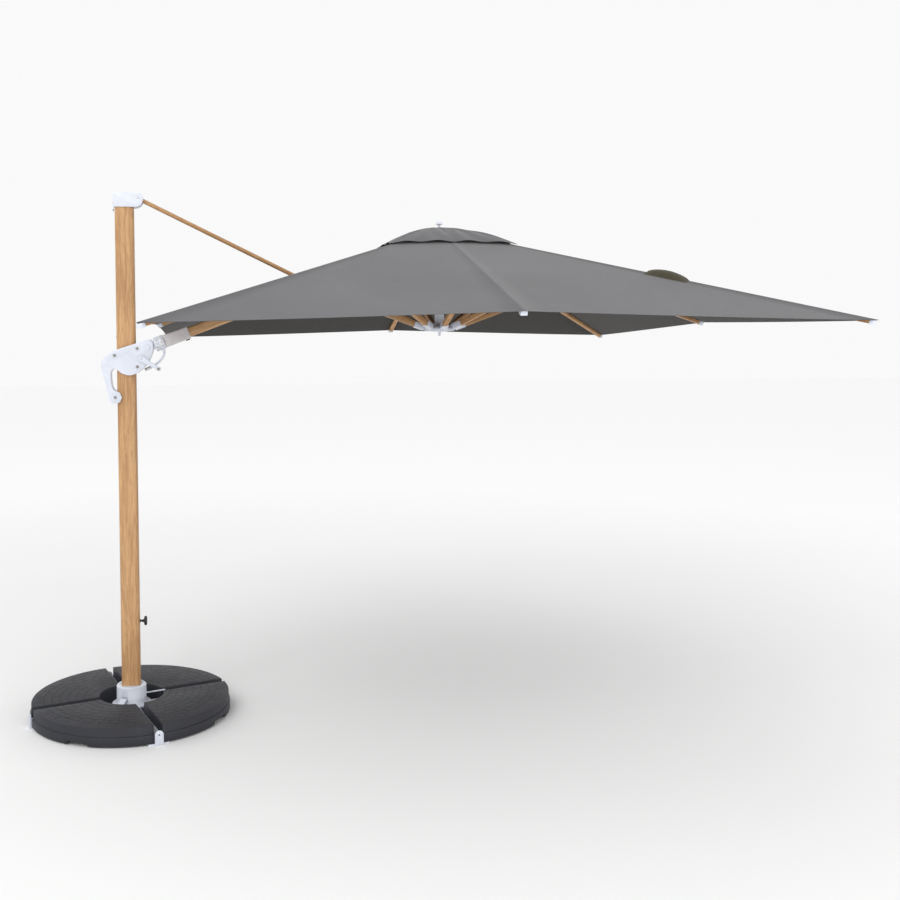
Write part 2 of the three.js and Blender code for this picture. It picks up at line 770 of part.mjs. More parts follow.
function lockLever() {
  const hinge = onBoom(leverHingeReach, -leverHingeDrop);
  const path = new THREE.CatmullRomCurve3([
    new THREE.Vector3(hinge.x + 1, 0, hinge.y - 5),
    new THREE.Vector3(hinge.x, 0, hinge.y - 20),
    new THREE.Vector3(hinge.x - 14, 0, hinge.y - 44),
    new THREE.Vector3(hinge.x - 40, 0, hinge.y - 69),
    new THREE.Vector3(hinge.x - 96, 0, hinge.y - 97),
  ]);
  const section = new THREE.Shape();
  section.absarc(0, 0, 4.5, 0, 2 * Math.PI);
  const bar = solid(
    new THREE.ExtrudeGeometry(section, { steps: 16, extrudePath: path, curveSegments: 5 }),
  );
  const eye = crossRod(hinge.x, hinge.y, -5.8, 5.8, 6.6, 16);
  const bore = crossRod(hinge.x, hinge.y, -8, 8, leverPinRadius + GAP, 12);
  const grip = rod(
    [hinge.x - 66, 0, hinge.y - 84],
    [hinge.x - 97, 0, hinge.y - 97.5],
    6,
    12,
  );
  return join(cut(eye, bore), cut(bar, bore), grip);
}

function boomSection(grow) {
  return roundedRectangle(BOOM_HEIGHT + 2 * grow, BOOM_WIDTH + 2 * grow, BOOM_CORNER + grow);
}

// A prism along +X whose section is drawn with its height along the section's X.
function alongSection(shape, start, end) {
  const geometry = geometryOf(pillar(shape, start, end, 3));
  geometry.rotateY(Math.PI / 2);
  return solid(geometry);
}

function boomTube() {
  const outer = alongSection(boomSection(0), BOOM_START, BOOM_END);
  const inner = alongSection(boomSection(-BOOM_WALL), BOOM_START - 1, BOOM_END + 1);
  return alongBoom(cut(outer, inner));
}

function boomSleeve() {
  const start = BOOM_START + GAP;
  const outer = roundedRectangle(SLEEVE_HEIGHT, SLEEVE_WIDTH, 10);
  const body = alongSection(outer, start, start + SLEEVE_LENGTH);
  const bore = alongSection(boomSection(GAP), start - 1, start + SLEEVE_LENGTH + 1);
  return alongBoom(cut(body, bore));
}

// The ring that the tie rod holds, loose on the boom, with its two ears and their pin.
function tieRing() {
  const start = TIE_RING_REACH - TIE_RING_LENGTH / 2;
  const bore = Math.hypot(BOOM_HEIGHT / 2 - BOOM_CORNER, BOOM_WIDTH / 2 - BOOM_CORNER) + BOOM_CORNER;
  const body = alongRing(TIE_RING_RADIUS, bore + 0.6, start, start + TIE_RING_LENGTH);
  const earShape = new THREE.Shape();
  const low = bore + 2;
  earShape.moveTo(TIE_RING_REACH - 9, low);
  earShape.lineTo(TIE_RING_REACH + 9, low);
  earShape.lineTo(TIE_RING_REACH + 9, TIE_RING_RISE);
  earShape.absarc(TIE_RING_REACH, TIE_RING_RISE, 9, 0, Math.PI);
  const inner = ringEyeWidth / 2 + 0.7;
  const rearEar = slab(earShape, inner, inner + 6);
  const frontEar = slab(earShape, -inner - 6, -inner);
  const pin = crossRod(TIE_RING_REACH, TIE_RING_RISE, -inner - 3, inner + 3, RING_PIN_RADIUS, 12);
  return alongBoom(join(body, rearEar, frontEar, pin));
}

add(parasol, "boom_yoke", boomYoke(), whitePlastic);
add(parasol, "tilt_collar", tiltCollar(), whitePlastic);
add(parasol, "tilt_lever", lockLever(), steel);
add(parasol, "boom_tube", boomTube(), woodTone);
add(parasol, "boom_sleeve", boomSleeve(), sleevePlastic);
add(parasol, "tie_ring", tieRing(), whitePlastic);

// ---------- crown hub ----------
// In the crown's own group the centre line is at X = 0 and heights stay as they are.
const crown = new THREE.Group();
crown.position.x = CROWN_X;
parasol.add(crown);

const EIGHT = [0, 45, 90, 135, 180, 225, 270, 315];
const SEVEN = EIGHT.filter((azimuth) => azimuth !== 180);
const hubBottom = HUB_PIVOT_Z - HUB_BELOW;
const hubTop = HUB_PIVOT_Z + HUB_ABOVE;
const bossBottom = hubBottom - HUB_BOSS_HEIGHT;
const slopeMiddle = (HUB_PIVOT_Z + RIB_HEIGHT / 2 - RIM_MIDDLE_Z) / (HALF_SIDE - HUB_PIVOT_RADIUS);
const ribTopAtPivot = HUB_PIVOT_Z + (RIB_HEIGHT / 2) * Math.hypot(1, slopeMiddle);
const middleFall = (ribTopAtPivot - RIM_MIDDLE_Z) / (HALF_SIDE - HUB_PIVOT_RADIUS);
const cornerRadius = HALF_SIDE * Math.SQRT2;
const cornerShare = (RIM_MIDDLE_Z - RIM_CORNER_Z) / HALF_SIDE; // fall per mm off a mid-line
// The fabric falls away on both sides of a line, so a flat-topped bar lies a little lower.
const ridgeRoom = ((middleFall - cornerShare) * (RIB_WIDTH / 2 + 1)) / Math.SQRT2;
const cornerFall =
  (ribTopAtPivot - RIM_CORNER_Z + ridgeRoom) / (cornerRadius - HUB_PIVOT_RADIUS);
const railDrop = cornerShare * (RAIL_OFFSET + RAIL_WIDTH / 2 + 1);
const railPivotZ =
  HUB_PIVOT_Z - middleFall * (RAIL_PIVOT_RADIUS - HUB_PIVOT_RADIUS) - railDrop;

// An eight-sided ring of round wire whose straight sides pass through the pivots.
function octagonWire(inRadius, height, radius) {
  const corner = inRadius / Math.cos(Math.PI / 8);
  const at = (step) => {
    const angle = ((step + 0.5) * Math.PI) / 4;
    return [corner * Math.cos(angle), corner * Math.sin(angle), height];
  };
  let body = rod(at(0), at(1), radius, 6);
  for (let step = 1; step < 8; step += 1) {
    body = body.add(rod(at(step), at(step + 1), radius, 6));
  }
  for (let step = 0; step < 8; step += 1) {
    const ball = new THREE.SphereGeometry(radius, 6, 4);
    ball.translate(...at(step));
    body = body.add(solid(ball));
  }
  return body;
}

function radialSlots(body, azimuths, innerRadius, outerRadius, low, high) {
  const half = TONGUE_WIDTH / 2 + TONGUE_GAP;
  const slot = () => box([innerRadius, -half, low], [outerRadius, half, high]);
  return azimuths.reduce((rest, azimuth) => rest.subtract(turnedTo(slot(), azimuth * DEG)), body);
}

function crownShift(body, shift) {
  const geometry = geometryOf(body);
  geometry.translate(shift, 0, 0);
  return solid(geometry);
}

// The hub disc, and the block that carries it on the boom's end and plugs into the boom.
function crownHub() {
  const disc = join(
    rod([0, 0, hubBottom], [0, 0, hubTop], HUB_RADIUS, 40),
    rod([0, 0, bossBottom], [0, 0, hubBottom + 1], HUB_BOSS_RADIUS, 32),
  );
  const block = box(
    [BOOM_END + GAP, -BOOM_WIDTH / 2, -BOOM_HEIGHT / 2],
    [BOOM_END + BLOCK_LENGTH, BOOM_WIDTH / 2, BOOM_HEIGHT / 2 + 15],
  );
  const plug = alongSection(boomSection(-BOOM_WALL - GAP), BOOM_END - 65, BOOM_END + 5);
  const carrier = crownShift(alongBoom(join(block, plug)), -CROWN_X);
  const pins = crossRod(
    -RAIL_PIVOT_RADIUS,
    railPivotZ,
    -RAIL_OFFSET - RAIL_WIDTH / 2 - 1,
    RAIL_OFFSET + RAIL_WIDTH / 2 + 1,
    LUG_PIN_RADIUS,
    12,
  );
  const top = box([-140, -60, hubTop], [0, 60, hubTop + 60]);
  const railGap = 1;
  const railInner = RAIL_OFFSET - RAIL_WIDTH / 2 - railGap;
  const railOuter = HUB_RADIUS;
  const clear = [-HUB_RADIUS - 20, -RAIL_PIVOT_RADIUS + 20];
  let body = join(disc, cut(carrier, top));
  body = cut(
    body,
    box([clear[0], railInner, hubBottom - 1], [clear[1], railOuter, hubTop + 1]),
    box([clear[0], -railOuter, hubBottom - 1], [clear[1], -railInner, hubTop + 1]),
  );
  body = join(body, pins);
  body = radialSlots(body, SEVEN, HUB_PIVOT_RADIUS - 18, HUB_RADIUS + 10, hubBottom - 1, hubTop + 1);
  const cordWay = crownShift(
    alongBoom(rod([BOOM_END - 80, 0, 0], [1640, 0, 0], CORD_BORE, 12)),
    -CROWN_X,
  );
  const drop = rod([0, 0, bossBottom - 5], [0, 0, hubTop + 5], 8, 16);
  return cut(body, cordWay, drop, octagonWire(HUB_PIVOT_RADIUS, HUB_PIVOT_Z, WIRE_RADIUS + 0.4));
}

add(crown, "crown_hub", crownHub(), whitePlastic);
add(crown, "hub_wire", octagonWire(HUB_PIVOT_RADIUS, HUB_PIVOT_Z, WIRE_RADIUS), steel);

// ---------- ribs and stretchers ----------
// Each is drawn along +X from its inner pivot, Z across it, and then laid at its slope.
function drawnRadial(body, radius, height, angle) {
  return slanted(body, new THREE.Vector2(radius, height), angle);
}

// The place of a lug in a rib's own frame: how far along it, and how far below its axis.
function lugPlace(pivotRadius, pivotZ, slope, lugRadius, lugZ) {
  const run = lugRadius - pivotRadius;
  const fall = pivotZ - lugZ;
  return {
    along: run * Math.cos(slope) + fall * Math.sin(slope),
    drop: fall * Math.cos(slope) - run * Math.sin(slope),
  };
}

const middleSlope = Math.atan(middleFall);
const cornerSlope = Math.atan(cornerFall);
// On a mid-side arm the upper pivot lies halfway between the hub's and the runner's pivots.
const lugMiddleZ = (HUB_PIVOT_Z + RUNNER_PIVOT_Z) / 2;
const lugMiddleRadius =
  HUB_PIVOT_RADIUS +
  (HUB_PIVOT_Z - lugMiddleZ - LUG_DROP / Math.cos(middleSlope)) / Math.tan(middleSlope);
const armReach = Math.hypot(lugMiddleRadius - HUB_PIVOT_RADIUS, HUB_PIVOT_Z - lugMiddleZ);
const cornerLugAlong = Math.sqrt(armReach ** 2 - LUG_DROP ** 2);
const lugCornerRadius =
  HUB_PIVOT_RADIUS +
  cornerLugAlong * Math.cos(cornerSlope) -
  LUG_DROP * Math.sin(cornerSlope);
const lugCornerZ =
  HUB_PIVOT_Z - cornerLugAlong * Math.sin(cornerSlope) - LUG_DROP * Math.cos(cornerSlope);

function ribLug(place, offset) {
  const half = LUG_THICKNESS / 2;
  const lug = box(
    [place.along - 9, offset - half, -place.drop - EYE_RADIUS],
    [place.along + 9, offset + half, -RIB_HEIGHT / 2 + 1],
  );
  const bore = crossRod(
    place.along,
    -place.drop,
    offset - 10,
    offset + 10,
    LUG_PIN_RADIUS + GAP,
    12,
  );
  return lug.subtract(bore);
}

// A plain rib: a tongue for the hub, the bar, the tip that holds the fabric, and the lug.
function rib(length, lug) {
  const half = RIB_HEIGHT / 2;
  const tongue = join(
    crossRod(0, 0, -TONGUE_WIDTH / 2, TONGUE_WIDTH / 2, half, 12),
    box([0, -TONGUE_WIDTH / 2, -half], [24, TONGUE_WIDTH / 2, half]),
  );
  const bar = box([22, -RIB_WIDTH / 2, -half], [length - TIP_LENGTH + 1, RIB_WIDTH / 2, half]);
  const tip = box(
    [length - TIP_LENGTH, -RIB_WIDTH / 2 - 1, -half - TIP_DROP],
    [length, RIB_WIDTH / 2 + 1, half],
  );
  const eye = crossRod(0, 0, -20, 20, WIRE_RADIUS + GAP, 12);
  return join(cut(join(tongue, bar), eye), tip, ribLug(lug, 0));
}

// One of the two slim rails that take the mast-side rib past the boom.
function rail(length, lug, offset) {
  const half = RIB_HEIGHT / 2;
  const side = RAIL_WIDTH / 2;
  const eyeEnd = crossRod(0, 0, offset - side, offset + side, half, 12);
  const bar = box([0, offset - side, -half], [length - TIP_LENGTH + 1, offset + side, half]);
  const tip = box(
    [length - TIP_LENGTH, offset - side - 1, -half - TIP_DROP],
    [length, offset + side + 1, half],
  );
  const eye = crossRod(0, 0, offset - 20, offset + 20, LUG_PIN_RADIUS + GAP, 12);
  return join(cut(join(eyeEnd, bar), eye), tip, ribLug(lug, offset));
}

// The upper end of a stretcher: a forked block about the lug, with its pin.
function forkEnd(length, offset) {
  const half = 9;
  const block = join(
    box([length - 42, offset - half, -EYE_RADIUS], [length, offset + half, EYE_RADIUS]),
    crossRod(length, 0, offset - half, offset + half, EYE_RADIUS, 12),
  );
  const slotHalf = LUG_THICKNESS / 2 + 0.5;
  const slot = box([length - 17, offset - slotHalf, -20], [length + 20, offset + slotHalf, 20]);
  const pin = crossRod(length, 0, offset - half + 1, offset + half - 1, LUG_PIN_RADIUS, 12);
  return join(cut(block, slot), pin);
}

function stretcherFoot() {
  const half = EYE_RADIUS;
  const socketStart = 20;
  const socketHalf = STRETCHER_SOCKET_WIDTH / 2;
  return join(
    crossRod(0, 0, -TONGUE_WIDTH / 2, TONGUE_WIDTH / 2, half, 12),
    box([0, -TONGUE_WIDTH / 2, -half], [socketStart + 2, TONGUE_WIDTH / 2, half]),
    box(
      [socketStart, -socketHalf, -socketHalf + 2],
      [socketStart + STRETCHER_SOCKET_LENGTH, socketHalf, socketHalf - 2],
    ),
  );
}

const stretcherBarStart = 20 + STRETCHER_SOCKET_LENGTH - 1;

function stretcher(length) {
  const half = STRETCHER_SIZE / 2;
  const bar = box([stretcherBarStart, -half, -half], [length - 40, half, half]);
  return join(stretcherFoot(), bar, forkEnd(length, 0));
}

// The mast-side stretcher opens into two arms that pass the boom on either side.
function forkedStretcher(length) {
  const half = STRETCHER_SIZE / 2;
  const armHalf = RAIL_WIDTH / 2;
  const split = length - 280;
  const bar = box([stretcherBarStart, -half, -half], [split + 6, half, half]);
  let body = join(stretcherFoot(), bar);
  for (const side of [-1, 1]) {
    const near = side * (RAIL_OFFSET - armHalf);
    const far = side * (RAIL_OFFSET + armHalf);
    const corners = [
      [split, 0],
      [split, side * half],
      [length - 70, far],
      [length - 38, far],
      [length - 38, near],
      [length - 68, near],
      [split + 30, 0],
    ];
    const shape = outline(side > 0 ? corners.reverse() : corners);
    body = join(body, pillar(shape, -10, 10), forkEnd(length, side * RAIL_OFFSET));
  }
  return body;
}

function stretcherLine(lugRadius, lugZ) {
  const run = lugRadius - HUB_PIVOT_RADIUS;
  const rise = lugZ - RUNNER_PIVOT_Z;
  return { length: Math.hypot(run, rise), angle: Math.atan2(rise, run) };
}

const corners = new Set([45, 135, 225, 315]);
for (const azimuth of EIGHT) {
  const corner = corners.has(azimuth);
  const mastSide = azimuth === 180;
  const slope = corner ? cornerSlope : middleSlope;
  const pivotRadius = mastSide ? RAIL_PIVOT_RADIUS : HUB_PIVOT_RADIUS;
  const pivotZ = mastSide ? railPivotZ : HUB_PIVOT_Z;
  const rimRadius = corner ? cornerRadius : HALF_SIDE;
  const length = (rimRadius - RIB_END_SETBACK - pivotRadius) / Math.cos(slope);
  const lugRadius = corner ? lugCornerRadius : lugMiddleRadius;
  const lugZ = corner ? lugCornerZ : lugMiddleZ;
  const lug = lugPlace(pivotRadius, pivotZ, slope, lugRadius, lugZ);
  const line = stretcherLine(lugRadius, lugZ);
  const label = String(azimuth).padStart(3, "0");
  const arm = new THREE.Group();
  arm.rotation.z = azimuth * DEG;
  crown.add(arm);
  if (mastSide) {
    for (const [name, side] of [["front", 1], ["rear", -1]]) {
      const body = rail(length, lug, side * RAIL_OFFSET);
      add(arm, `rib_180_${name}`, drawnRadial(body, pivotRadius, pivotZ, -slope), woodTone);
    }
    const fork = forkedStretcher(line.length);
    const laid = drawnRadial(fork, HUB_PIVOT_RADIUS, RUNNER_PIVOT_Z, line.angle);
    add(arm, "stretcher_180", laid, woodTone);
  } else {
    const body = rib(length, lug);
    add(arm, `rib_${label}`, drawnRadial(body, pivotRadius, pivotZ, -slope), woodTone);
    const bar = stretcher(line.length);
    const laid = drawnRadial(bar, HUB_PIVOT_RADIUS, RUNNER_PIVOT_Z, line.angle);
    add(arm, `stretcher_${label}`, laid, woodTone);
  }
}

// ---------- runner, centre tube and lift cord ----------
const runnerBottom = RUNNER_PIVOT_Z - 14;
const runnerTop = RUNNER_PIVOT_Z + 12;

function runner() {
  const disc = turned(
    [
      [0, runnerBottom - 24],
      [6, runnerBottom - 24],
      [8, runnerBottom - 4],
      [40, runnerBottom],
      [RUNNER_RADIUS, runnerBottom + 4],
      [RUNNER_RADIUS, runnerTop - RUNNER_BEVEL],
      [RUNNER_RADIUS - RUNNER_BEVEL, runnerTop],
      [CORD_BORE, runnerTop],
      [CORD_BORE, runnerTop - 12],
      [0, runnerTop - 12],
    ],
    32,
  );
  return radialSlots(disc, EIGHT, 46, RUNNER_RADIUS + 10, runnerBottom - 8, runnerTop + 1);
}

add(crown, "runner", runner(), whitePlastic);
const centreTube = ring(
  CENTRE_TUBE_RADIUS,
  CENTRE_TUBE_RADIUS - 3,
  runnerTop + GAP,
  bossBottom - GAP,
  28,
);
add(crown, "centre_tube", centreTube, whitePlastic);

// The cord runs from the spool into the boom, over to the crown and down to the runner.
function liftCord() {
  const mouth = onBoom(YOKE_COLLAR_START - 4);
  const bend = onBoom(1632);
  const stations = [
    [CRANK_CENTRE.x + DRUM_RADIUS + CORD_RADIUS + GAP, 0, CRANK_CENTRE.y],
    [mouth.x - 9, 0, mouth.y - 12],
    [mouth.x + 4, 0, mouth.y + 1.5],
    [bend.x, 0, bend.y],
    [CROWN_X - 3, 0, bend.y + 3],
    [CROWN_X, 0, bend.y - 3],
    [CROWN_X, 0, runnerTop - 8],
  ];
  let body = rod(stations[0], stations[1], CORD_RADIUS, 8);
  for (let step = 1; step < stations.length - 1; step += 1) {
    const ball = new THREE.SphereGeometry(CORD_RADIUS, 8, 4);
    ball.translate(...stations[step]);
    body = join(body, solid(ball), rod(stations[step], stations[step + 1], CORD_RADIUS, 8));
  }
  return body;
}

add(parasol, "lift_cord", liftCord(), cordFibre);

// ---------- canopy, vent cap and finial ----------
// A square skin of eight flat gores round the crown, from an inner to an outer half side.
// levels gives the height of its underside at the mid-sides and corners of both squares.
function squareSkin(inner, outer, levels) {
  const places = [];
  for (const azimuth of EIGHT) {
    const corner = corners.has(azimuth);
    const stretch = corner ? Math.SQRT2 : 1;
    const c = Math.cos(azimuth * DEG) * stretch;
    const s = Math.sin(azimuth * DEG) * stretch;
    const low = corner ? levels.innerCorner : levels.innerMiddle;
    const high = corner ? levels.outerCorner : levels.outerMiddle;
    places.push([inner * c, inner * s, low], [outer * c, outer * s, high]);
  }
  const positions = [];
  for (const lift of [0, FABRIC_THICKNESS]) {
    for (const [x, y, z] of places) {
      positions.push(x, y, z + lift);
    }
  }
  const count = places.length;
  const index = [];
  for (let gore = 0; gore < 8; gore += 1) {
    const a = 2 * gore;
    const b = a + 1;
    const c = (a + 2) % count;
    const d = (a + 3) % count;
    const up = count;
    // underside, top, outer edge, inner edge
    index.push(a, c, b, c, d, b);
    index.push(a + up, b + up, c + up, c + up, b + up, d + up);
    index.push(b, d, b + up, d, d + up, b + up);
    index.push(a, a + up, c, c, a + up, c + up);
  }
  const geometry = new THREE.BufferGeometry();
  geometry.setAttribute("position", new THREE.Float32BufferAttribute(positions, 3));
  geometry.setIndex(index);
  return solid(geometry);
}

const ventMiddleZ = ribTopAtPivot - middleFall * (VENT_HALF_SIDE - HUB_PIVOT_RADIUS) + FABRIC_GAP;

function canopy() {
  const skin = squareSkin(VENT_HALF_SIDE, HALF_SIDE, {
    innerMiddle: ventMiddleZ,
    innerCorner: ventMiddleZ - cornerShare * VENT_HALF_SIDE,
    outerMiddle: RIM_MIDDLE_Z + FABRIC_GAP,
    outerCorner: RIM_CORNER_Z + FABRIC_GAP,
  });
  const middle = ringPivot.x - CROWN_X;
  const slot = box(
    [middle - SLOT_BEFORE, -SLOT_HALF_WIDTH, lugMiddleZ - 200],
    [middle + SLOT_AFTER, SLOT_HALF_WIDTH, hubTop],
  );
  return skin.subtract(slot);
}

const finialStem = 7;

function ventCap() {
  const rise = (CAP_APEX_Z - CAP_EDGE_Z) / CAP_HALF_SIDE;
  const inner = finialStem + GAP;
  const near = CAP_APEX_Z - rise * inner;
  return squareSkin(inner, CAP_HALF_SIDE, {
    innerMiddle: near,
    innerCorner: near,
    outerMiddle: CAP_EDGE_Z,
    outerCorner: CAP_EDGE_Z - CAP_CORNER_DROP,
  });
}

add(crown, "canopy", canopy(), greyFabric);
add(crown, "vent_cap", ventCap(), greyFabric);
const finial = turned(
  [
    [0, hubTop + GAP],
    [14, hubTop + GAP],
    [14, hubTop + 6],
    [finialStem, hubTop + 10],
    [finialStem, CAP_APEX_Z + 2.5],
    [18, CAP_APEX_Z + 3],
    [18, CAP_APEX_Z + 8],
    [12, FINIAL_TOP - 2],
    [6, FINIAL_TOP],
    [0, FINIAL_TOP],
  ],
  24,
);
add(crown, "finial", finial, whitePlastic);

export default parasol;
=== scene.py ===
import json
import math

import bmesh
import bpy
from mathutils import Matrix, Vector


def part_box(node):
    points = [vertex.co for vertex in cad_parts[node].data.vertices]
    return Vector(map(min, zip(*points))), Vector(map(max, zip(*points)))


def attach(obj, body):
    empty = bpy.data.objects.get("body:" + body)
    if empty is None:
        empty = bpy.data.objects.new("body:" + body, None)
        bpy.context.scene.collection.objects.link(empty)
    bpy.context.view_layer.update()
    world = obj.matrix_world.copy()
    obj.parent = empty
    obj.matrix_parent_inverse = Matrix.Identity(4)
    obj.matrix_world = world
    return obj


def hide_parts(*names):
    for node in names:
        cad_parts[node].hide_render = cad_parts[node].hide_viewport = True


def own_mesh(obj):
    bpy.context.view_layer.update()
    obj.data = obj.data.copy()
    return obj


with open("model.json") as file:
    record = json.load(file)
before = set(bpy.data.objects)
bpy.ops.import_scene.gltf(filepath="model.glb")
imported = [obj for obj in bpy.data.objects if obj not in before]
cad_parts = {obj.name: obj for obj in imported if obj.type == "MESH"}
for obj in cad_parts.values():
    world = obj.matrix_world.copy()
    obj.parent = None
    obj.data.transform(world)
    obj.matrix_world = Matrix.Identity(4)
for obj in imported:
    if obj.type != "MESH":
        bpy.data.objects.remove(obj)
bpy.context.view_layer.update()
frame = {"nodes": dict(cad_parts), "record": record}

bl_info = {
    "name": "Cantilever Parasol Finisher",
    "version": (1, 0, 0),
    "blender": (4, 5, 0),
    "location": "View3D > Sidebar > Parasol",
    "description": "Fabric, timber, plastics and small fittings for a cantilever parasol frame",
    "category": "Object",
}

NODES = frame["nodes"]
AZIMUTHS = (0, 45, 90, 135, 180, 225, 270, 315)

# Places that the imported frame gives, in metres.
HUB_LOW, HUB_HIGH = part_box("crown_hub")
CANOPY_LOW, CANOPY_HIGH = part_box("canopy")
CAP_LOW, CAP_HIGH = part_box("vent_cap")
CROWN = Vector(((CANOPY_LOW.x + CANOPY_HIGH.x) / 2, 0.0, 0.0))
HALF_SIDE = (CANOPY_HIGH.x - CANOPY_LOW.x) / 2
TIE_LOW, TIE_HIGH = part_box("tie_rod")
TIE_DIRECTION = Vector((TIE_HIGH.x - TIE_LOW.x, 0.0, TIE_LOW.z - TIE_HIGH.z)).normalized()

# The boom's pivot on the carriage, and the way that the boom points at rest.
BOOM_DIRECTION = Vector((math.cos(math.radians(20.5)), 0.0, math.sin(math.radians(20.5))))
BOOM_PIVOT = Vector((0.110, 0.0, 1.902))

# The fabric's own surface, outside the ribs.
VENT_HALF_SIDE = 0.200
CAP_HALF_SIDE = (CAP_HIGH.x - CAP_LOW.x) / 2
RIDGE_START = 0.070
RIDGE_TOP = 2.4989
RIM_MIDDLE_TOP = 2.0225
RIM_CORNER_TOP = 1.9825
HEM_INSET = 0.0005

# The opening that the tie rod passes through, measured from the crown.
SLOT_HALF_WIDTH = 0.036
SLOT_START = 0.6456
SLOT_END = 0.8656

# How steeply the arms fall and the stretchers rise, on a side's middle and on a corner.
SIDE_ARM_FALL = math.radians(18.43)
CORNER_ARM_FALL = math.radians(14.21)
SIDE_STRETCHER_RISE = math.radians(19.85)
CORNER_STRETCHER_RISE = math.radians(23.0)

SEAT_DEPTH = 0.0001
FLOOR_LEVEL = -0.0005


# ---------------------------------------------------------------- helpers


def deselect_all():
    if bpy.context.object and bpy.context.object.mode != "OBJECT":
        bpy.ops.object.mode_set(mode="OBJECT")
    bpy.ops.object.select_all(action="DESELECT")


def make_active(piece):
    deselect_all()
    piece.hide_viewport = False
    piece.select_set(True)
    bpy.context.view_layer.objects.active = piece


def apply_modifiers(piece):
    make_active(piece)
    for modifier in list(piece.modifiers):
        bpy.ops.object.modifier_apply(modifier=modifier.name)


def settle(piece):
    """Puts a piece's place into its mesh."""
    make_active(piece)
    bpy.ops.object.transform_apply(location=True, rotation=True, scale=True)


def bevel(piece, width, segments=2, angle=30):
    modifier = piece.modifiers.new("Edges", "BEVEL")
    modifier.width = width
    modifier.segments = segments
    modifier.limit_method = "ANGLE"
    modifier.angle_limit = math.radians(angle)
    modifier.use_clamp_overlap = True
    apply_modifiers(piece)


def smooth(piece, angle=35):
    make_active(piece)
    bpy.ops.object.shade_smooth_by_angle(angle=math.radians(angle))


def select_faces(piece, test):
    """In edit mode, selects the faces whose middle and normal pass the test."""
    bpy.ops.mesh.select_mode(type="FACE")
    bpy.ops.mesh.select_all(action="DESELECT")
    cage = bmesh.from_edit_mesh(piece.data)
    for face in cage.faces:
        face.select = test(face.calc_center_median(), face.normal)
    bmesh.update_edit_mesh(piece.data)


def add_materials(piece, *materials):
    piece.data.materials.clear()
    for material in materials:
        piece.data.materials.append(material)


def aimed(piece, place, direction, roll=0.0):
    """Turns a piece made along +Z towards a direction, moves it to its place and settles it."""
    piece.matrix_world = (
        Matrix.Translation(place)
        @ Vector(direction).to_track_quat("Z", "Y").to_matrix().to_4x4()
        @ Matrix.Rotation(roll, 4, "Z")
    )
    settle(piece)


def copy_of(piece, name):
    twin = piece.copy()
    twin.data = piece.data.copy()
    twin.name = name
    bpy.context.collection.objects.link(twin)
    return twin


def worked_copy(node, name, edge=0.0010, smooth_angle=32):
    """A CAD node's shape as one clean mesh with rounded edges, standing for the node."""
    source = NODES[node]
    piece = source.copy()
    piece.data = source.data.copy()
    piece.name = name
    for key in list(piece.keys()):
        del piece[key]
    piece.parent = None
    piece.matrix_world = Matrix.Identity(4)
    bpy.context.collection.objects.link(piece)
    piece.hide_render = False
    make_active(piece)
    bpy.ops.object.mode_set(mode="EDIT")
    bpy.ops.mesh.select_all(action="SELECT")
    bpy.ops.mesh.remove_doubles(threshold=0.00002)
    bpy.ops.mesh.dissolve_limited(angle_limit=math.radians(0.8))
    bpy.ops.object.mode_set(mode="OBJECT")
    if edge:
        bevel(piece, edge, 2, 40)
    smooth(piece, smooth_angle)
    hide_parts(node)
    return piece


def body_with(node):
    for body, nodes in frame["record"]["behaviour"]["bodies"].items():
        if node in nodes:
            return body
    raise RuntimeError(f"{node} is in no body")


def finish_piece(piece, body):
    piece.location = (0, 0, 0)
    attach(piece, body)


# -------------------------------------------------------------- materials


class NodeBench:
    """Adds shader nodes and joins them, so that a material reads as one list of steps."""

    def __init__(self, name):
        self.material = bpy.data.materials.new(name)
        self.material.use_nodes = True
        self.tree = self.material.node_tree
        self.shader = self.tree.nodes["Principled BSDF"]

    def add(self, kind, inputs=(), **settings):
        node = self.tree.nodes.new(kind)
        for key, value in settings.items():
            setattr(node, key, value)
        for key, value in dict(inputs).items():
            if isinstance(value, bpy.types.NodeSocket):
                self.tree.links.new(value, node.inputs[key])
            else:
                node.inputs[key].default_value = value
        return node

    def math(self, operation, first, second):
        return self.add("ShaderNodeMath", {0: first, 1: second}, operation=operation).outputs[0]

    def tinted(self, ground, tint, share):
        """Multiplies a colour by a second one, by a share of its strength."""
        inputs = {"Factor": share, 6: ground, 7: tint}
        return self.add("ShaderNodeMix", inputs, data_type="RGBA", blend_type="MULTIPLY").outputs[2]

    def ramp(self, factor, *stops):
        node = self.add("ShaderNodeValToRGB", {"Fac": factor})
        elements = node.color_ramp.elements
        while len(elements) < len(stops):
            elements.new(0.5)
        for element, (position, colour) in zip(elements, stops):
            element.position = position
            element.color = (*colour, 1.0)
        return node.outputs["Color"]

    def levels(self, factor, low, high):
        """Spreads a 0 to 1 value between two roughness or height values."""
        return self.add(
            "ShaderNodeMapRange", {"Value": factor, "To Min": low, "To Max": high}
        ).outputs["Result"]

    def object_place(self, turn=None, scale=(1, 1, 1)):
        place = self.add("ShaderNodeTexCoord").outputs["Object"]
        node = self.add("ShaderNodeMapping", {"Vector": place})
        if turn is not None:
            node.inputs["Rotation"].default_value = turn
        node.inputs["Scale"].default_value = scale
        return node.outputs["Vector"]

    def bump(self, height, strength, distance, normal=None):
        inputs = {"Height": height, "Strength": strength, "Distance": distance}
        if normal is not None:
            inputs["Normal"] = normal
        return self.add("ShaderNodeBump", inputs).outputs["Normal"]

    def set(self, **values):
        for key, value in values.items():
            socket = self.shader.inputs[key.replace("_", " ")]
            if isinstance(value, bpy.types.NodeSocket):
                self.tree.links.new(value, socket)
            else:
                socket.default_value = value
        return self.material


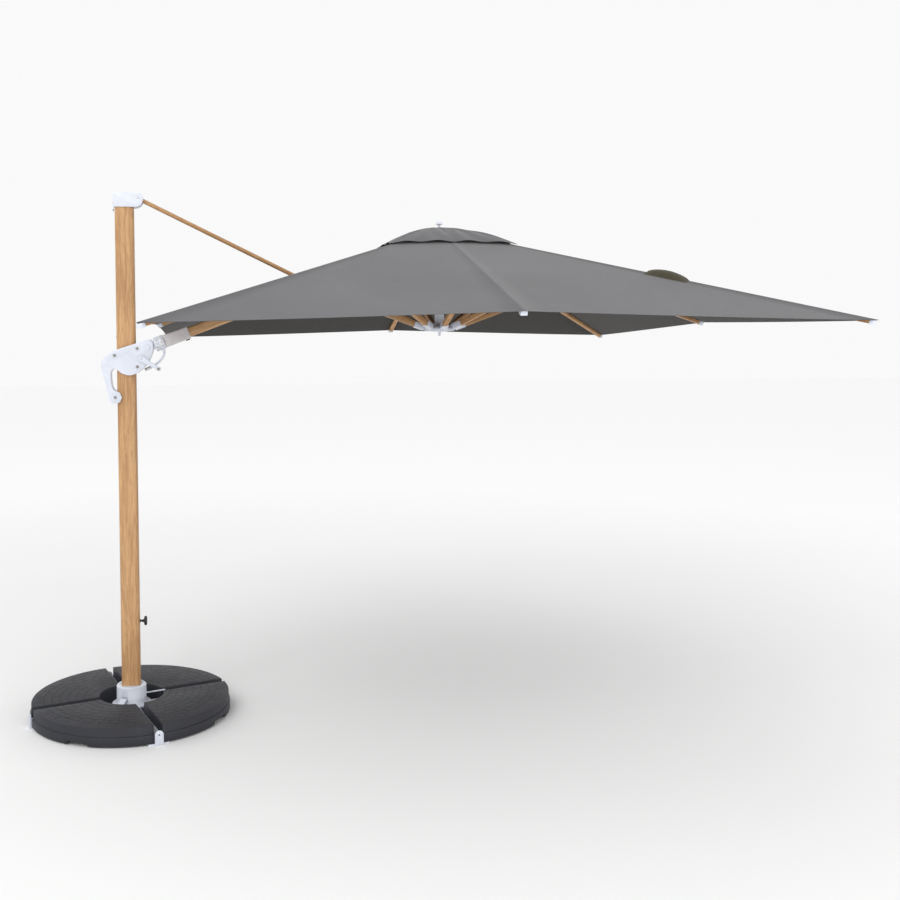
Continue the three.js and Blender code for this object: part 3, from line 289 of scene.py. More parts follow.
def moulded_plastic(name, colour, roughness, coat=0.0):
    """Moulded plastic with a fine spark-eroded grain, faint flow marks and handling haze."""
    bench = NodeBench(name)
    place = bench.object_place()
    flow = bench.add("ShaderNodeTexNoise", {"Vector": place, "Scale": 9.0, "Detail": 3.0})
    grit = bench.add("ShaderNodeTexNoise", {"Vector": place, "Scale": 900.0, "Detail": 2.0})
    haze = bench.add("ShaderNodeTexNoise", {"Vector": place, "Scale": 34.0, "Detail": 5.0})
    dark = tuple(c * 0.90 for c in colour)
    light = tuple(min(1.0, c * 1.04) for c in colour)
    tint = bench.ramp(flow.outputs["Fac"], (0.30, dark), (0.70, light))
    shine = bench.levels(haze.outputs["Fac"], roughness - 0.07, roughness + 0.09)
    relief = bench.bump(grit.outputs["Fac"], 0.35, 0.0006)
    return bench.set(Base_Color=tint, Roughness=shine, Normal=relief, Coat_Weight=coat, IOR=1.49)


def powder_coat(name, colour):
    """Satin powder coat on steel with its fine orange peel."""
    bench = NodeBench(name)
    place = bench.object_place()
    peel = bench.add("ShaderNodeTexVoronoi", {"Vector": place, "Scale": 420.0}, feature="SMOOTH_F1")
    dust = bench.add("ShaderNodeTexNoise", {"Vector": place, "Scale": 14.0, "Detail": 6.0})
    dark = tuple(c * 0.86 for c in colour)
    tint = bench.ramp(dust.outputs["Fac"], (0.35, dark), (0.62, colour))
    shine = bench.levels(dust.outputs["Fac"], 0.34, 0.50)
    relief = bench.bump(peel.outputs["Distance"], 0.25, 0.0004)
    return bench.set(Base_Color=tint, Roughness=shine, Normal=relief, Coat_Weight=0.25)


def brushed_steel(name, colour):
    """Steel with fine brushing and a slight change of gloss."""
    bench = NodeBench(name)
    place = bench.object_place(scale=(1, 1, 60))
    lines = bench.add("ShaderNodeTexNoise", {"Vector": place, "Scale": 30.0, "Detail": 6.0})
    cloud = bench.add("ShaderNodeTexNoise", {"Vector": bench.object_place(), "Scale": 20.0, "Detail": 3.0})
    dark = tuple(c * 0.82 for c in colour)
    tint = bench.ramp(lines.outputs["Fac"], (0.35, dark), (0.65, colour))
    shine = bench.levels(cloud.outputs["Fac"], 0.22, 0.40)
    relief = bench.bump(lines.outputs["Fac"], 0.12, 0.0003)
    return bench.set(Base_Color=tint, Roughness=shine, Normal=relief, Metallic=1.0)


def timber(name, turn, light, dark, grain_scale):
    """Lacquered timber: broad figure, fine pores and short dark flecks along one direction."""
    bench = NodeBench(name)
    along = bench.object_place(turn=turn)
    stretched = bench.add("ShaderNodeMapping", {"Vector": along})
    stretched.inputs["Scale"].default_value = (0.07, 1.0, 1.0)
    figure = bench.add(
        "ShaderNodeTexNoise",
        {
            "Vector": stretched.outputs[0],
            "Scale": grain_scale,
            "Detail": 5.0,
            "Roughness": 0.62,
            "Distortion": 0.8,
        },
    )
    pores_place = bench.add("ShaderNodeMapping", {"Vector": along})
    pores_place.inputs["Scale"].default_value = (0.035, 1.0, 1.0)
    pores = bench.add(
        "ShaderNodeTexNoise",
        {"Vector": pores_place.outputs[0], "Scale": grain_scale * 9.0, "Detail": 3.0, "Roughness": 0.7},
    )
    flecks = bench.add(
        "ShaderNodeTexVoronoi",
        {"Vector": pores_place.outputs[0], "Scale": grain_scale * 4.2, "Randomness": 1.0},
        feature="F1",
    )
    middle = tuple((a + b) / 2 for a, b in zip(light, dark))
    bright = tuple(c * 1.06 for c in light)
    ground = bench.ramp(figure.outputs["Fac"], (0.28, dark), (0.47, middle), (0.58, light), (0.74, bright))
    fine = bench.ramp(pores.outputs["Fac"], (0.36, (0.62, 0.56, 0.50)), (0.52, (1.0, 1.0, 1.0)))
    spots = bench.ramp(flecks.outputs["Distance"], (0.05, (0.60, 0.52, 0.45)), (0.16, (1.0, 1.0, 1.0)))
    flecked = bench.tinted(bench.tinted(ground, fine, 0.75), spots, 0.45)
    shine = bench.levels(figure.outputs["Fac"], 0.42, 0.58)
    relief = bench.bump(pores.outputs["Fac"], 0.30, 0.0006)
    return bench.set(Base_Color=flecked, Roughness=shine, Normal=relief, Coat_Weight=0.12)


def woven_cloth(name, colour, roughness=0.86, sheen=0.25):
    """Plain-woven outdoor cloth: crossing threads, uneven dye and slight dust on the weave."""
    bench = NodeBench(name)
    place = bench.object_place()
    warp, weft = (
        bench.add(
            "ShaderNodeTexWave",
            {"Vector": place, "Scale": 260.0, "Distortion": 0.4, "Detail": 1.0},
            wave_type="BANDS",
            bands_direction=direction,
        ).outputs["Fac"]
        for direction in ("X", "Y")
    )
    weave = bench.math("MULTIPLY", warp, weft)
    dye = bench.add("ShaderNodeTexNoise", {"Vector": place, "Scale": 2.2, "Detail": 6.0, "Roughness": 0.6})
    slub_place = bench.object_place(scale=(1.0, 14.0, 1.0))
    slub = bench.add("ShaderNodeTexNoise", {"Vector": slub_place, "Scale": 22.0, "Detail": 3.0})
    dark = tuple(c * 0.86 for c in colour)
    light = tuple(c * 1.10 for c in colour)
    ground = bench.ramp(dye.outputs["Fac"], (0.35, dark), (0.66, light))
    threads = bench.ramp(weave, (0.0, (0.80, 0.80, 0.80)), (0.8, (1.0, 1.0, 1.0)))
    streaks = bench.ramp(slub.outputs["Fac"], (0.38, (0.93, 0.93, 0.93)), (0.6, (1.0, 1.0, 1.0)))
    cloth = bench.tinted(bench.tinted(ground, threads, 0.6), streaks, 1.0)
    relief = bench.bump(weave, 0.30, 0.0005)
    creased = bench.bump(slub.outputs["Fac"], 0.08, 0.002, relief)
    return bench.set(
        Base_Color=cloth, Roughness=roughness, Normal=creased, Sheen_Weight=sheen, Sheen_Roughness=0.5
    )


def paved_ballast(name, colour, course, stone):
    """Matte black shell with cobble courses pressed in rings round the mast, painted shade darkening the pressed
    joints, and scuffs.
    """
    bench = NodeBench(name)
    place = bench.add("ShaderNodeTexCoord").outputs["Object"]
    parts = bench.add("ShaderNodeSeparateXYZ", {"Vector": place})
    x, y = parts.outputs["X"], parts.outputs["Y"]
    square = bench.math("ADD", bench.math("MULTIPLY", x, x), bench.math("MULTIPLY", y, y))
    reach = bench.math("SQRT", square, 0.0)
    turn = bench.math("ARCTAN2", y, x)
    round_place = bench.math("MULTIPLY", turn, 0.36)
    laid = bench.add("ShaderNodeCombineXYZ", {"X": round_place, "Y": reach})
    stones = bench.add(
        "ShaderNodeTexBrick",
        {
            "Vector": laid.outputs[0],
            "Scale": 1.0,
            "Mortar Size": 0.0050,
            "Mortar Smooth": 0.6,
            "Brick Width": stone,
            "Row Height": course,
            "Color1": (1.0, 1.0, 1.0, 1.0),
            "Color2": (0.86, 0.86, 0.86, 1.0),
            "Mortar": (0.0, 0.0, 0.0, 1.0),
        },
        offset=0.5,
    )
    grit = bench.add("ShaderNodeTexNoise", {"Vector": place, "Scale": 160.0, "Detail": 5.0})
    scuff = bench.add("ShaderNodeTexNoise", {"Vector": place, "Scale": 11.0, "Detail": 7.0})
    face = bench.add("ShaderNodeNewGeometry").outputs["Normal"]
    up = bench.add("ShaderNodeSeparateXYZ", {"Vector": face}).outputs["Z"]
    on_top = bench.math("GREATER_THAN", up, 0.7)
    inside = bench.math("LESS_THAN", reach, 0.475)
    beyond = bench.math("GREATER_THAN", reach, 0.195)
    field = bench.math("MULTIPLY", on_top, bench.math("MULTIPLY", inside, beyond))
    joints = bench.math("MULTIPLY", stones.outputs["Fac"], field)
    height = bench.math("SUBTRACT", bench.math("MULTIPLY", grit.outputs["Fac"], 0.10), joints)
    ground = bench.ramp(
        scuff.outputs["Fac"],
        (0.30, tuple(c * 0.78 for c in colour)),
        (0.60, colour),
        (0.80, tuple(c * 1.7 for c in colour)),
    )
    # Painted shade: the pressed joints between the cobbles are darkened to 35 per cent, standing for shade in the
    # grooves.
    shade = bench.ramp(joints, (0.0, (1.0, 1.0, 1.0)), (1.0, (0.35, 0.35, 0.35)))
    mixed = bench.tinted(ground, shade, 1.0)
    shine = bench.levels(scuff.outputs["Fac"], 0.48, 0.72)
    relief = bench.bump(height, 1.0, 0.006)
    return bench.set(Base_Color=mixed, Roughness=shine, Normal=relief)


def braided_cord(name, colour):
    """Pale cord with its braid running across it."""
    bench = NodeBench(name)
    place = bench.object_place()
    braid = bench.add(
        "ShaderNodeTexWave",
        {"Vector": place, "Scale": 130.0, "Distortion": 1.2, "Detail": 1.0},
        wave_type="BANDS",
        bands_direction="DIAGONAL",
    )
    dark = tuple(c * 0.7 for c in colour)
    tint = bench.ramp(braid.outputs["Fac"], (0.1, dark), (0.7, colour))
    relief = bench.bump(braid.outputs["Fac"], 0.5, 0.0008)
    return bench.set(Base_Color=tint, Roughness=0.8, Normal=relief)


def shared(maker, name, *values, **more):
    """A material is made once and used again by name."""
    return bpy.data.materials.get(name) or maker(name, *values, **more)


def white_plastic():
    shell = bpy.context.scene.parasol_plastics
    return shared(moulded_plastic, "White moulded plastic", tuple(shell.white), 0.30, coat=0.2)


def black_plastic():
    shell = bpy.context.scene.parasol_plastics
    return shared(moulded_plastic, "Black moulded plastic", tuple(shell.black), 0.46)


def sleeve_plastic():
    shell = bpy.context.scene.parasol_plastics
    return shared(moulded_plastic, "Sleeve plastic", tuple(shell.sleeve), 0.42)


def screw_plastic():
    shell = bpy.context.scene.parasol_plastics
    return shared(moulded_plastic, "Screw cap plastic", tuple(shell.screw), 0.38)


def white_coat():
    return shared(powder_coat, "White powder coat", tuple(bpy.context.scene.parasol_plastics.white))


def steel():
    return shared(brushed_steel, "Brushed steel", (0.62, 0.63, 0.66))


def roof_cloth():
    return shared(woven_cloth, "Canopy cloth", tuple(bpy.context.scene.parasol_canopy.cloth))


# The cloth's lower face is painted with shade: its colour is far darker than the upper face's, standing for the shade
# under the canopy.
def shaded_underside_cloth():
    return shared(woven_cloth, "Canopy underside painted shade", tuple(bpy.context.scene.parasol_canopy.shaded_underside), 0.92, 0.1)


def trim_cloth():
    return shared(woven_cloth, "Vent edging", tuple(bpy.context.scene.parasol_canopy.trim), 0.9, 0.1)


def timber_along(name, direction):
    """Timber whose grain runs along a direction in the row frame."""
    wood = bpy.context.scene.parasol_timber
    turn = Vector(direction).normalized().rotation_difference(Vector((1, 0, 0))).to_euler()
    return shared(timber, name, turn, tuple(wood.light), tuple(wood.dark), wood.grain)


# --------------------------------------------------------------- settings


class ParasolCanopySettings(bpy.types.PropertyGroup):
    cloth: bpy.props.FloatVectorProperty(
        name="Cloth", description="Colour of the cloth's upper face",
        subtype="COLOR", size=3, min=0, max=1,
        default=(0.078, 0.076, 0.083),
    )
    # Painted shade: this lower-face colour stands for the shade under the canopy, not for a darker lining fabric.
    shaded_underside: bpy.props.FloatVectorProperty(
        name="Underside", description="Colour of the cloth's lower face",
        subtype="COLOR", size=3, min=0, max=1,
        default=(0.011, 0.009, 0.006),
    )
    trim: bpy.props.FloatVectorProperty(
        name="Vent edging", description="Colour of the vent's mesh and edging",
        subtype="COLOR", size=3, min=0, max=1,
        default=(0.060, 0.052, 0.026),
    )
    sag: bpy.props.FloatProperty(
        name="Sag", description="How far the cloth hangs below a straight panel between two arms",
        subtype="DISTANCE",
        unit="LENGTH", default=0.006, min=0.0, max=0.05,
    )
    hem_curve: bpy.props.FloatProperty(
        name="Hem curve", description="How far the hem curves in between two arms", subtype="DISTANCE",
        unit="LENGTH", default=0.012, min=0.0, max=0.08,
    )
    thickness: bpy.props.FloatProperty(
        name="Thickness", description="Thickness of the cloth",
        subtype="DISTANCE", unit="LENGTH", default=0.0014,
        min=0.0005, max=0.004,
    )
    folded_share: bpy.props.FloatProperty(
        name="Folded share", description="Width that a panel keeps when the arms are folded",
        default=0.20, min=0.05, max=1.0,
    )


class ParasolTimberSettings(bpy.types.PropertyGroup):
    light: bpy.props.FloatVectorProperty(
        name="Light grain", description="Colour of the early wood",
        subtype="COLOR", size=3, min=0, max=1,
        default=(0.565, 0.330, 0.150),
    )
    dark: bpy.props.FloatVectorProperty(
        name="Dark grain", description="Colour of the late wood", subtype="COLOR", size=3, min=0, max=1,
        default=(0.375, 0.190, 0.075),
    )
    grain: bpy.props.FloatProperty(
        name="Grain", description="How many figures of grain there are across a metre",
        default=48.0, min=5.0, max=300.0,
    )


class ParasolPlasticSettings(bpy.types.PropertyGroup):
    white: bpy.props.FloatVectorProperty(
        name="White", description="Colour of the white fittings", subtype="COLOR", size=3, min=0, max=1,
        default=(0.66, 0.69, 0.77),
    )
    black: bpy.props.FloatVectorProperty(
        name="Black", description="Colour of the knobs and rollers",
        subtype="COLOR", size=3, min=0, max=1,
        default=(0.018, 0.018, 0.022),
    )
    sleeve: bpy.props.FloatVectorProperty(
        name="Sleeve", description="Colour of the boom's sleeve", subtype="COLOR", size=3, min=0, max=1,
        default=(0.61, 0.58, 0.58),
    )
    screw: bpy.props.FloatVectorProperty(
        name="Screws", description="Colour of the screw caps", subtype="COLOR", size=3, min=0, max=1,
        default=(0.26, 0.235, 0.20),
    )


class ParasolBallastSettings(bpy.types.PropertyGroup):
    shell: bpy.props.FloatVectorProperty(
        name="Shell", description="Colour of the ballast plates", subtype="COLOR", size=3, min=0, max=1,
        default=(0.017, 0.018, 0.026),
    )
    course: bpy.props.FloatProperty(
        name="Course", description="Width of a ring of cobbles",
        subtype="DISTANCE", unit="LENGTH", default=0.040,
        min=0.01, max=0.2,
    )
    stone: bpy.props.FloatProperty(
        name="Stone", description="Length of a cobble along its ring",
        subtype="DISTANCE", unit="LENGTH", default=0.066,
        min=0.01, max=0.3,
    )


class ParasolStageSettings(bpy.types.PropertyGroup):
    floor: bpy.props.FloatVectorProperty(
        name="Floor", description="Colour of the floor", subtype="COLOR", size=3, min=0, max=1,
        default=(0.86, 0.86, 0.86),
    )
    camera_place: bpy.props.FloatVectorProperty(
        name="Camera", description="Where the camera stands",
        subtype="TRANSLATION", unit="LENGTH", size=3,
        default=(0.4108, -5.4158, 1.8560),
    )
    camera_turn: bpy.props.FloatVectorProperty(
        name="Camera turn", description="Heading, pitch and roll of the camera",
        subtype="EULER", unit="ROTATION",
        size=3, default=(math.radians(-7.351), math.radians(-2.132), math.radians(-0.430)),
    )
    lens: bpy.props.FloatProperty(
        name="Lens", description="Focal length in millimetres on a sensor 36 mm wide", default=41.18, min=10, max=200,
    )
    shift: bpy.props.FloatVectorProperty(
        name="Shift", description="Sideways and upward shift of the lens, as shares of the frame", size=2,
        default=(0.1222, -0.0630), min=-0.5, max=0.5,
    )


# ----------------------------------------------------------------- canopy


def turned(x, y, azimuth):
    """A place beside an arm, x outwards and y to its left, in the crown's frame."""
    angle = math.radians(azimuth)
    c, s = math.cos(angle), math.sin(angle)
    return c * x - s * y, s * x + c * y


def rim_reach(angle, half_side, curve):
    """Distance from the crown to the hem at an angle from an arm to a side's middle."""
    folded = (math.degrees(angle) + 45.0) % 90.0 - 45.0
    straight = half_side / math.cos(math.radians(folded))
    between = abs(math.tan(math.radians(folded)))
    return straight - curve * 4 * between * (1 - between)


def roof_height(x, y, sag):
    """Height of the cloth's upper face over a place, measured from the crown."""
    across, along = sorted((abs(x), abs(y)))
    share = 0.0 if along < 1e-6 else across / along
    middle_fall = (RIDGE_TOP - RIM_MIDDLE_TOP) / (HALF_SIDE - RIDGE_START)
    drop = RIM_MIDDLE_TOP - RIM_CORNER_TOP
    height = RIDGE_TOP - middle_fall * (along - RIDGE_START) - drop * share * along / HALF_SIDE
    spread = max(0.0, (along - VENT_HALF_SIDE) / (HALF_SIDE - VENT_HALF_SIDE))
    hang = sag * 4 * share * (1 - share) * spread
    lateral = min(across, (along - across) / math.sqrt(2))
    seam = 0.0009 if lateral < 0.0085 else 0.0
    return height - hang + seam


def panel_rows(inner, outer, count, extra=()):
    rows = [inner + (outer - inner) * i / count for i in range(count + 1)]
    return sorted(set(rows) | {r for r in extra if inner < r < outer})


def sector_mesh(name, azimuth, rows, edge, height, offsets, hole=None, splits=7):
    """One panel strip: from halfway to the arm before to halfway to the arm after."""
    on_side = azimuth % 90 == 0
    half_turn = math.atan(0.5) if on_side else math.radians(45) - math.atan(0.5)
    mesh = bpy.data.meshes.new(name)
    cage = bmesh.new()
    grid = []
    for row in rows:
        line = []
        for side in (-1, 1):
            places = [(k, None) for k in offsets] + [(None, i / splits) for i in range(1, splits + 1)]
            part = []
            for fixed, share in places:
                line_reach = edge(row, 0.0)
                if fixed is not None:
                    angle = side * math.atan2(fixed, line_reach)
                else:
                    start = math.atan2(offsets[-1], line_reach)
                    angle = side * (start + (half_turn - start) * share)
                reach = edge(row, angle)
                part.append((math.cos(angle) * reach, math.sin(angle) * reach))
            line += list(reversed(part)) if side < 0 else part[1:]
        grid.append(line)
    made = []
    for line in grid:
        made_line = []
        for px, py in line:
            x, y = turned(px, py, azimuth)
            made_line.append(cage.verts.new((CROWN.x + x, y, height(x, y))))
        made.append(made_line)
    for line, following in zip(made, made[1:]):
        for k in range(len(line) - 1):
            corners = (line[k], following[k], following[k + 1], line[k + 1])
            middle = sum((c.co for c in corners), Vector()) / 4
            if hole is None or not hole(middle):
                cage.faces.new(corners)
    loose = [v for v in cage.verts if not v.link_faces]
    bmesh.ops.delete(cage, geom=loose, context="VERTS")
    cage.to_mesh(mesh)
    cage.free()
    piece = bpy.data.objects.new(name, mesh)
    bpy.context.collection.objects.link(piece)
    return piece


def thicken(piece, thickness, outer, inner):
    add_materials(piece, outer, inner)
    modifier = piece.modifiers.new("Cloth", "SOLIDIFY")
    modifier.thickness = thickness
    modifier.offset = -1.0
    modifier.material_offset = 1
    modifier.material_offset_rim = 0
    apply_modifiers(piece)
    smooth(piece, 40)


def arm_body(azimuth):
    return f"rib_{azimuth:03d}"


def fold_with_arm(piece, azimuth, share):
    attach(piece, arm_body(azimuth))
    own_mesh(piece)


class PARASOL_OT_canopy(bpy.types.Operator):
    """Sews the canopy's cloth: eight panel strips, one over each arm, with seams, hem and tie slot"""

    bl_idname = "parasol.canopy"
    bl_label = "Canopy cloth"
    bl_options = {"REGISTER", "UNDO"}

    def execute(self, context):
        cloth = context.scene.parasol_canopy
        for azimuth in AZIMUTHS:
            turn = math.radians(azimuth)

            def edge(row, angle):
                inner = rim_reach(turn + angle, VENT_HALF_SIDE, 0.0)
                outer = rim_reach(turn + angle, HALF_SIDE - HEM_INSET, cloth.hem_curve)
                return inner + (outer - inner) * row

            def height(x, y):
                return roof_height(x, y, cloth.sag)

            hole = None
            offsets = [0.0, 0.008, 0.0095]
            extra = [0.982]
            if azimuth == 180:
                span = HALF_SIDE - VENT_HALF_SIDE
                extra += [(SLOT_START - VENT_HALF_SIDE) / span, (SLOT_END - VENT_HALF_SIDE) / span]
                offsets = [0.0, SLOT_HALF_WIDTH / 2, SLOT_HALF_WIDTH]

                def hole(middle):
                    reach = CROWN.x - middle.x
                    return abs(middle.y) < SLOT_HALF_WIDTH and SLOT_START < reach < SLOT_END

            rows = panel_rows(0.0, 1.0, 34, extra)
            piece = sector_mesh(f"canopy_cloth_{azimuth:03d}", azimuth, rows, edge, height, offsets, hole)
            # The lower face takes the painted-shade underside colour.
            thicken(piece, cloth.thickness, roof_cloth(), shaded_underside_cloth())
            low, high = extents(piece, azimuth)
            if azimuth == AZIMUTHS[0]:
                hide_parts("canopy")
            fold_with_arm(piece, azimuth, cloth.folded_share)
        return {"FINISHED"}


def rib_nodes(azimuth):
    return ["rib_180_front", "rib_180_rear"] if azimuth == 180 else [f"rib_{azimuth:03d}"]


def extents(piece, azimuth):
    """Lowest and highest place of a piece outwards and across, in its arm's direction."""
    points = [turned(v.co.x - CROWN.x, v.co.y, -azimuth) for v in piece.data.vertices]
    xs, ys = [p[0] for p in points], [p[1] for p in points]
    return (min(xs), min(ys)), (max(xs), max(ys))


def cap_height(x, y):
    """Height of the vent cap's upper face, with slack waves near its edge."""
    across, along = sorted((abs(x), abs(y)))
    share = 0.0 if along < 1e-6 else across / along
    apex, edge_z = CAP_HIGH.z - 0.012, 2.4215
    height = apex - (apex - edge_z) * along / CAP_HALF_SIDE - 0.010 * share * along / CAP_HALF_SIDE
    outward = along / CAP_HALF_SIDE
    slack = max(0.0, outward - 0.45) / 0.55
    wave = 0.5 - 0.5 * math.cos(2 * math.pi * share * 2.0)
    dome = 0.021 * 4 * outward * (1 - outward)
    pleat = 0.0035 * math.sin(math.pi * outward) * math.sin(math.pi * 5 * share + 7 * outward)
    return height + dome + pleat + 0.0085 * slack * slack * wave


class PARASOL_OT_hip_flap(bpy.types.Operator):
    """Sews the raised pull flap on the front outer hip"""

    bl_idname = "parasol.hip_flap"
    bl_label = "Hip flap"
    bl_options = {"REGISTER", "UNDO"}

    def execute(self, context):
        cloth = context.scene.parasol_canopy
        reach, length, width, rise, azimuth = 1.14, 0.20, 0.090, 0.027, 315
        deselect_all()
        bpy.ops.mesh.primitive_grid_add(x_subdivisions=20, y_subdivisions=8, size=1.0)
        piece = bpy.context.object
        piece.name = "hip_flap"
        for vertex in piece.data.vertices:
            along, across = vertex.co.x + 0.5, vertex.co.y
            x, y = turned(reach + length * along, width * across, azimuth)
            swell = math.sin(math.pi * along) ** 0.6 * (1 - (2 * across) ** 4)
            vertex.co = (CROWN.x + x, y, roof_height(x, y, cloth.sag) + 0.0004 + rise * max(0.0, swell))
        thicken(piece, cloth.thickness, trim_cloth(), trim_cloth())
        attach(piece, arm_body(azimuth))
        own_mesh(piece)
        return {"FINISHED"}


class PARASOL_OT_vent_cap(bpy.types.Operator):
    """Sews the cap over the vent, with slack between its ties, and its crown patch"""

    bl_idname = "parasol.vent_cap"
    bl_label = "Vent cap"
    bl_options = {"REGISTER", "UNDO"}

    def execute(self, context):
        cloth = context.scene.parasol_canopy
        patch_reach = 0.074
        for azimuth in AZIMUTHS:
            turn = math.radians(azimuth)

            def edge(row, angle):
                inner = rim_reach(turn + angle, patch_reach, 0.0)
                outer = rim_reach(turn + angle, CAP_HALF_SIDE - HEM_INSET, 0.010)
                return inner + (outer - inner) * row

            rows = panel_rows(0.0, 1.0, 12, [0.95])
            piece = sector_mesh(
                f"vent_cloth_{azimuth:03d}", azimuth, rows, edge, cap_height, [0.0, 0.006, 0.0075], None, 9
            )
            thicken(piece, cloth.thickness, roof_cloth(), trim_cloth())
            low, high = extents(piece, azimuth)
            if azimuth == AZIMUTHS[0]:
                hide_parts("vent_cap")
            fold_with_arm(piece, azimuth, 0.45)
        self.patch(patch_reach, cloth.thickness)
        return {"FINISHED"}

    def patch(self, reach, thickness):
        deselect_all()
        bpy.ops.mesh.primitive_grid_add(
            x_subdivisions=16, y_subdivisions=16, size=reach * 2, location=(CROWN.x, 0, 0)
        )
        piece = bpy.context.object
        piece.name = "crown_patch"
        settle(piece)
        for vertex in piece.data.vertices:
            vertex.co.z = cap_height(vertex.co.x - CROWN.x, vertex.co.y) + 0.0002
        thicken(piece, thickness, roof_cloth(), trim_cloth())
        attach(piece, "boom")


# ------------------------------------------------------------------- arms


def arm_direction(azimuth, fall):
    angle = math.radians(azimuth)
    return Vector((math.cos(angle) * math.cos(fall), math.sin(angle) * math.cos(fall), -math.sin(fall)))


def reach_of(place):
    return math.hypot(place.x - CROWN.x, place.y)


class PARASOL_OT_arms(bpy.types.Operator):
    """Finishes the arms: timber bars with white ends, and lugs for the stretchers"""

    bl_idname = "parasol.arms"
    bl_label = "Arms"
    bl_options = {"REGISTER", "UNDO"}

    def execute(self, context):
        for azimuth in AZIMUTHS:
            on_side = azimuth % 90 == 0
            fall = SIDE_ARM_FALL if on_side else CORNER_ARM_FALL
            direction = arm_direction(azimuth, fall)
            grain = timber_along(f"Timber arm {azimuth:03d}", direction)
            for node in rib_nodes(azimuth):
                piece = worked_copy(node, node.replace("rib", "arm_bar"), 0.0009)
                add_materials(piece, grain, white_plastic())
                end = max(reach_of(v.co) for v in piece.data.vertices)
                for face in piece.data.polygons:
                    place = face.center
                    reach = reach_of(place)
                    axis_z = HUB_LOW.z + 0.012 - math.tan(fall) * (reach - 0.070)
                    fitting = reach > end - 0.0275 or reach < 0.118 or place.z < axis_z - 0.0105
                    face.material_index = 1 if fitting else 0
                finish_piece(piece, arm_body(azimuth))
        return {"FINISHED"}


class PARASOL_OT_stretchers(bpy.types.Operator):
    """Finishes the stretchers: timber bars in white moulded sockets"""

    bl_idname = "parasol.stretchers"
    bl_label = "Stretchers"
    bl_options = {"REGISTER", "UNDO"}

    def execute(self, context):
        for azimuth in AZIMUTHS:
            node = f"stretcher_{azimuth:03d}"
            rise = SIDE_STRETCHER_RISE if azimuth % 90 == 0 else CORNER_STRETCHER_RISE
            grain = timber_along(f"Timber stretcher {azimuth:03d}", arm_direction(azimuth, -rise))
            piece = worked_copy(node, f"stretcher_bar_{azimuth:03d}", 0.0010)
            add_materials(piece, grain, white_plastic())
            reaches = [reach_of(v.co) for v in piece.data.vertices]
            near, far = min(reaches), max(reaches)
            for face in piece.data.polygons:
                reach = reach_of(face.center)
                face.material_index = 1 if reach < near + 0.077 or reach > far - 0.046 else 0
            finish_piece(piece, node)
        return {"FINISHED"}


# ----------------------------------------------------------- hard fittings


def dress(nodes, material, edge=0.0010, angle=32):
    """Gives each of these nodes rounded edges, a smooth finish and one material."""
    for node in nodes:
        piece = worked_copy(node, f"{node}_finished", edge, angle)
        add_materials(piece, material)
        finish_piece(piece, body_with(node))


class PARASOL_OT_timber(bpy.types.Operator):
    """Finishes the mast, the tie rod and the boom in timber with the grain along each"""

    bl_idname = "parasol.timber"
    bl_label = "Mast, tie rod and boom"
    bl_options = {"REGISTER", "UNDO"}

    def execute(self, context):
        dress(["mast_tube"], timber_along("Timber mast", (0, 0, 1)), 0.0, 40)
        dress(["boom_tube"], timber_along("Timber boom", BOOM_DIRECTION), 0.0, 40)
        grain = timber_along("Timber tie rod", TIE_DIRECTION)
        piece = worked_copy("tie_rod", "tie_rod_finished", 0.0006, 40)
        add_materials(piece, grain, white_plastic())
        ends = (min(v.co.x for v in piece.data.vertices), max(v.co.x for v in piece.data.vertices))
        for face in piece.data.polygons:
            at_end = face.center.x < ends[0] + 0.034 or face.center.x > ends[1] - 0.046
            face.material_index = 1 if at_end else 0
        finish_piece(piece, "tie")
        return {"FINISHED"}


class PARASOL_OT_base(bpy.types.Operator):
    """Finishes the cross, the swivel socket with its pedal, and the ballast plates"""

    bl_idname = "parasol.base"
    bl_label = "Base"
    bl_options = {"REGISTER", "UNDO"}

    def execute(self, context):
        ballast = context.scene.parasol_ballast
        dress(["cross_base", "swivel_lock_rod"], white_coat(), 0.0009)
        dress(["swivel_socket", "swivel_pedal", "mast_foot"], white_plastic(), 0.0014)
        paved = shared(paved_ballast, "Paved ballast", tuple(ballast.shell), ballast.course, ballast.stone)
        dress([f"ballast_plate_{i}" for i in range(1, 5)], paved, 0.0045)
        return {"FINISHED"}


class PARASOL_OT_mast_fittings(bpy.types.Operator):
    """Finishes the mast's cap, clamp knob and stop bolt"""

    bl_idname = "parasol.mast_fittings"
    bl_label = "Mast fittings"
    bl_options = {"REGISTER", "UNDO"}

    def execute(self, context):
        dress(["mast_cap"], white_plastic(), 0.0025)
        dress(["clamp_knob"], black_plastic(), 0.0018)
        dress(["tie_pin"], steel(), 0.0005)
        cap_low, cap_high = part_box("mast_cap")
        bolt = round_bolt("bolt_head", 0.0068, 0.0042)
        for number, height in enumerate((cap_low.z + 0.018, cap_low.z + 0.053)):
            twin = copy_of(bolt, f"cap_bolt_{number + 1}")
            aimed(twin, (cap_low.x + 0.0004, 0.0, height), (-1, 0, 0))
            add_materials(twin, screw_plastic())
            finish_piece(twin, "mast")
        mast_low, mast_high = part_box("mast_tube")
        aimed(bolt, (mast_low.x + 0.0004, 0.0, 1.957), (-1, 0, 0))
        bolt.name = "stop_bolt"
        add_materials(bolt, white_plastic())
        finish_piece(bolt, "mast")
        return {"FINISHED"}


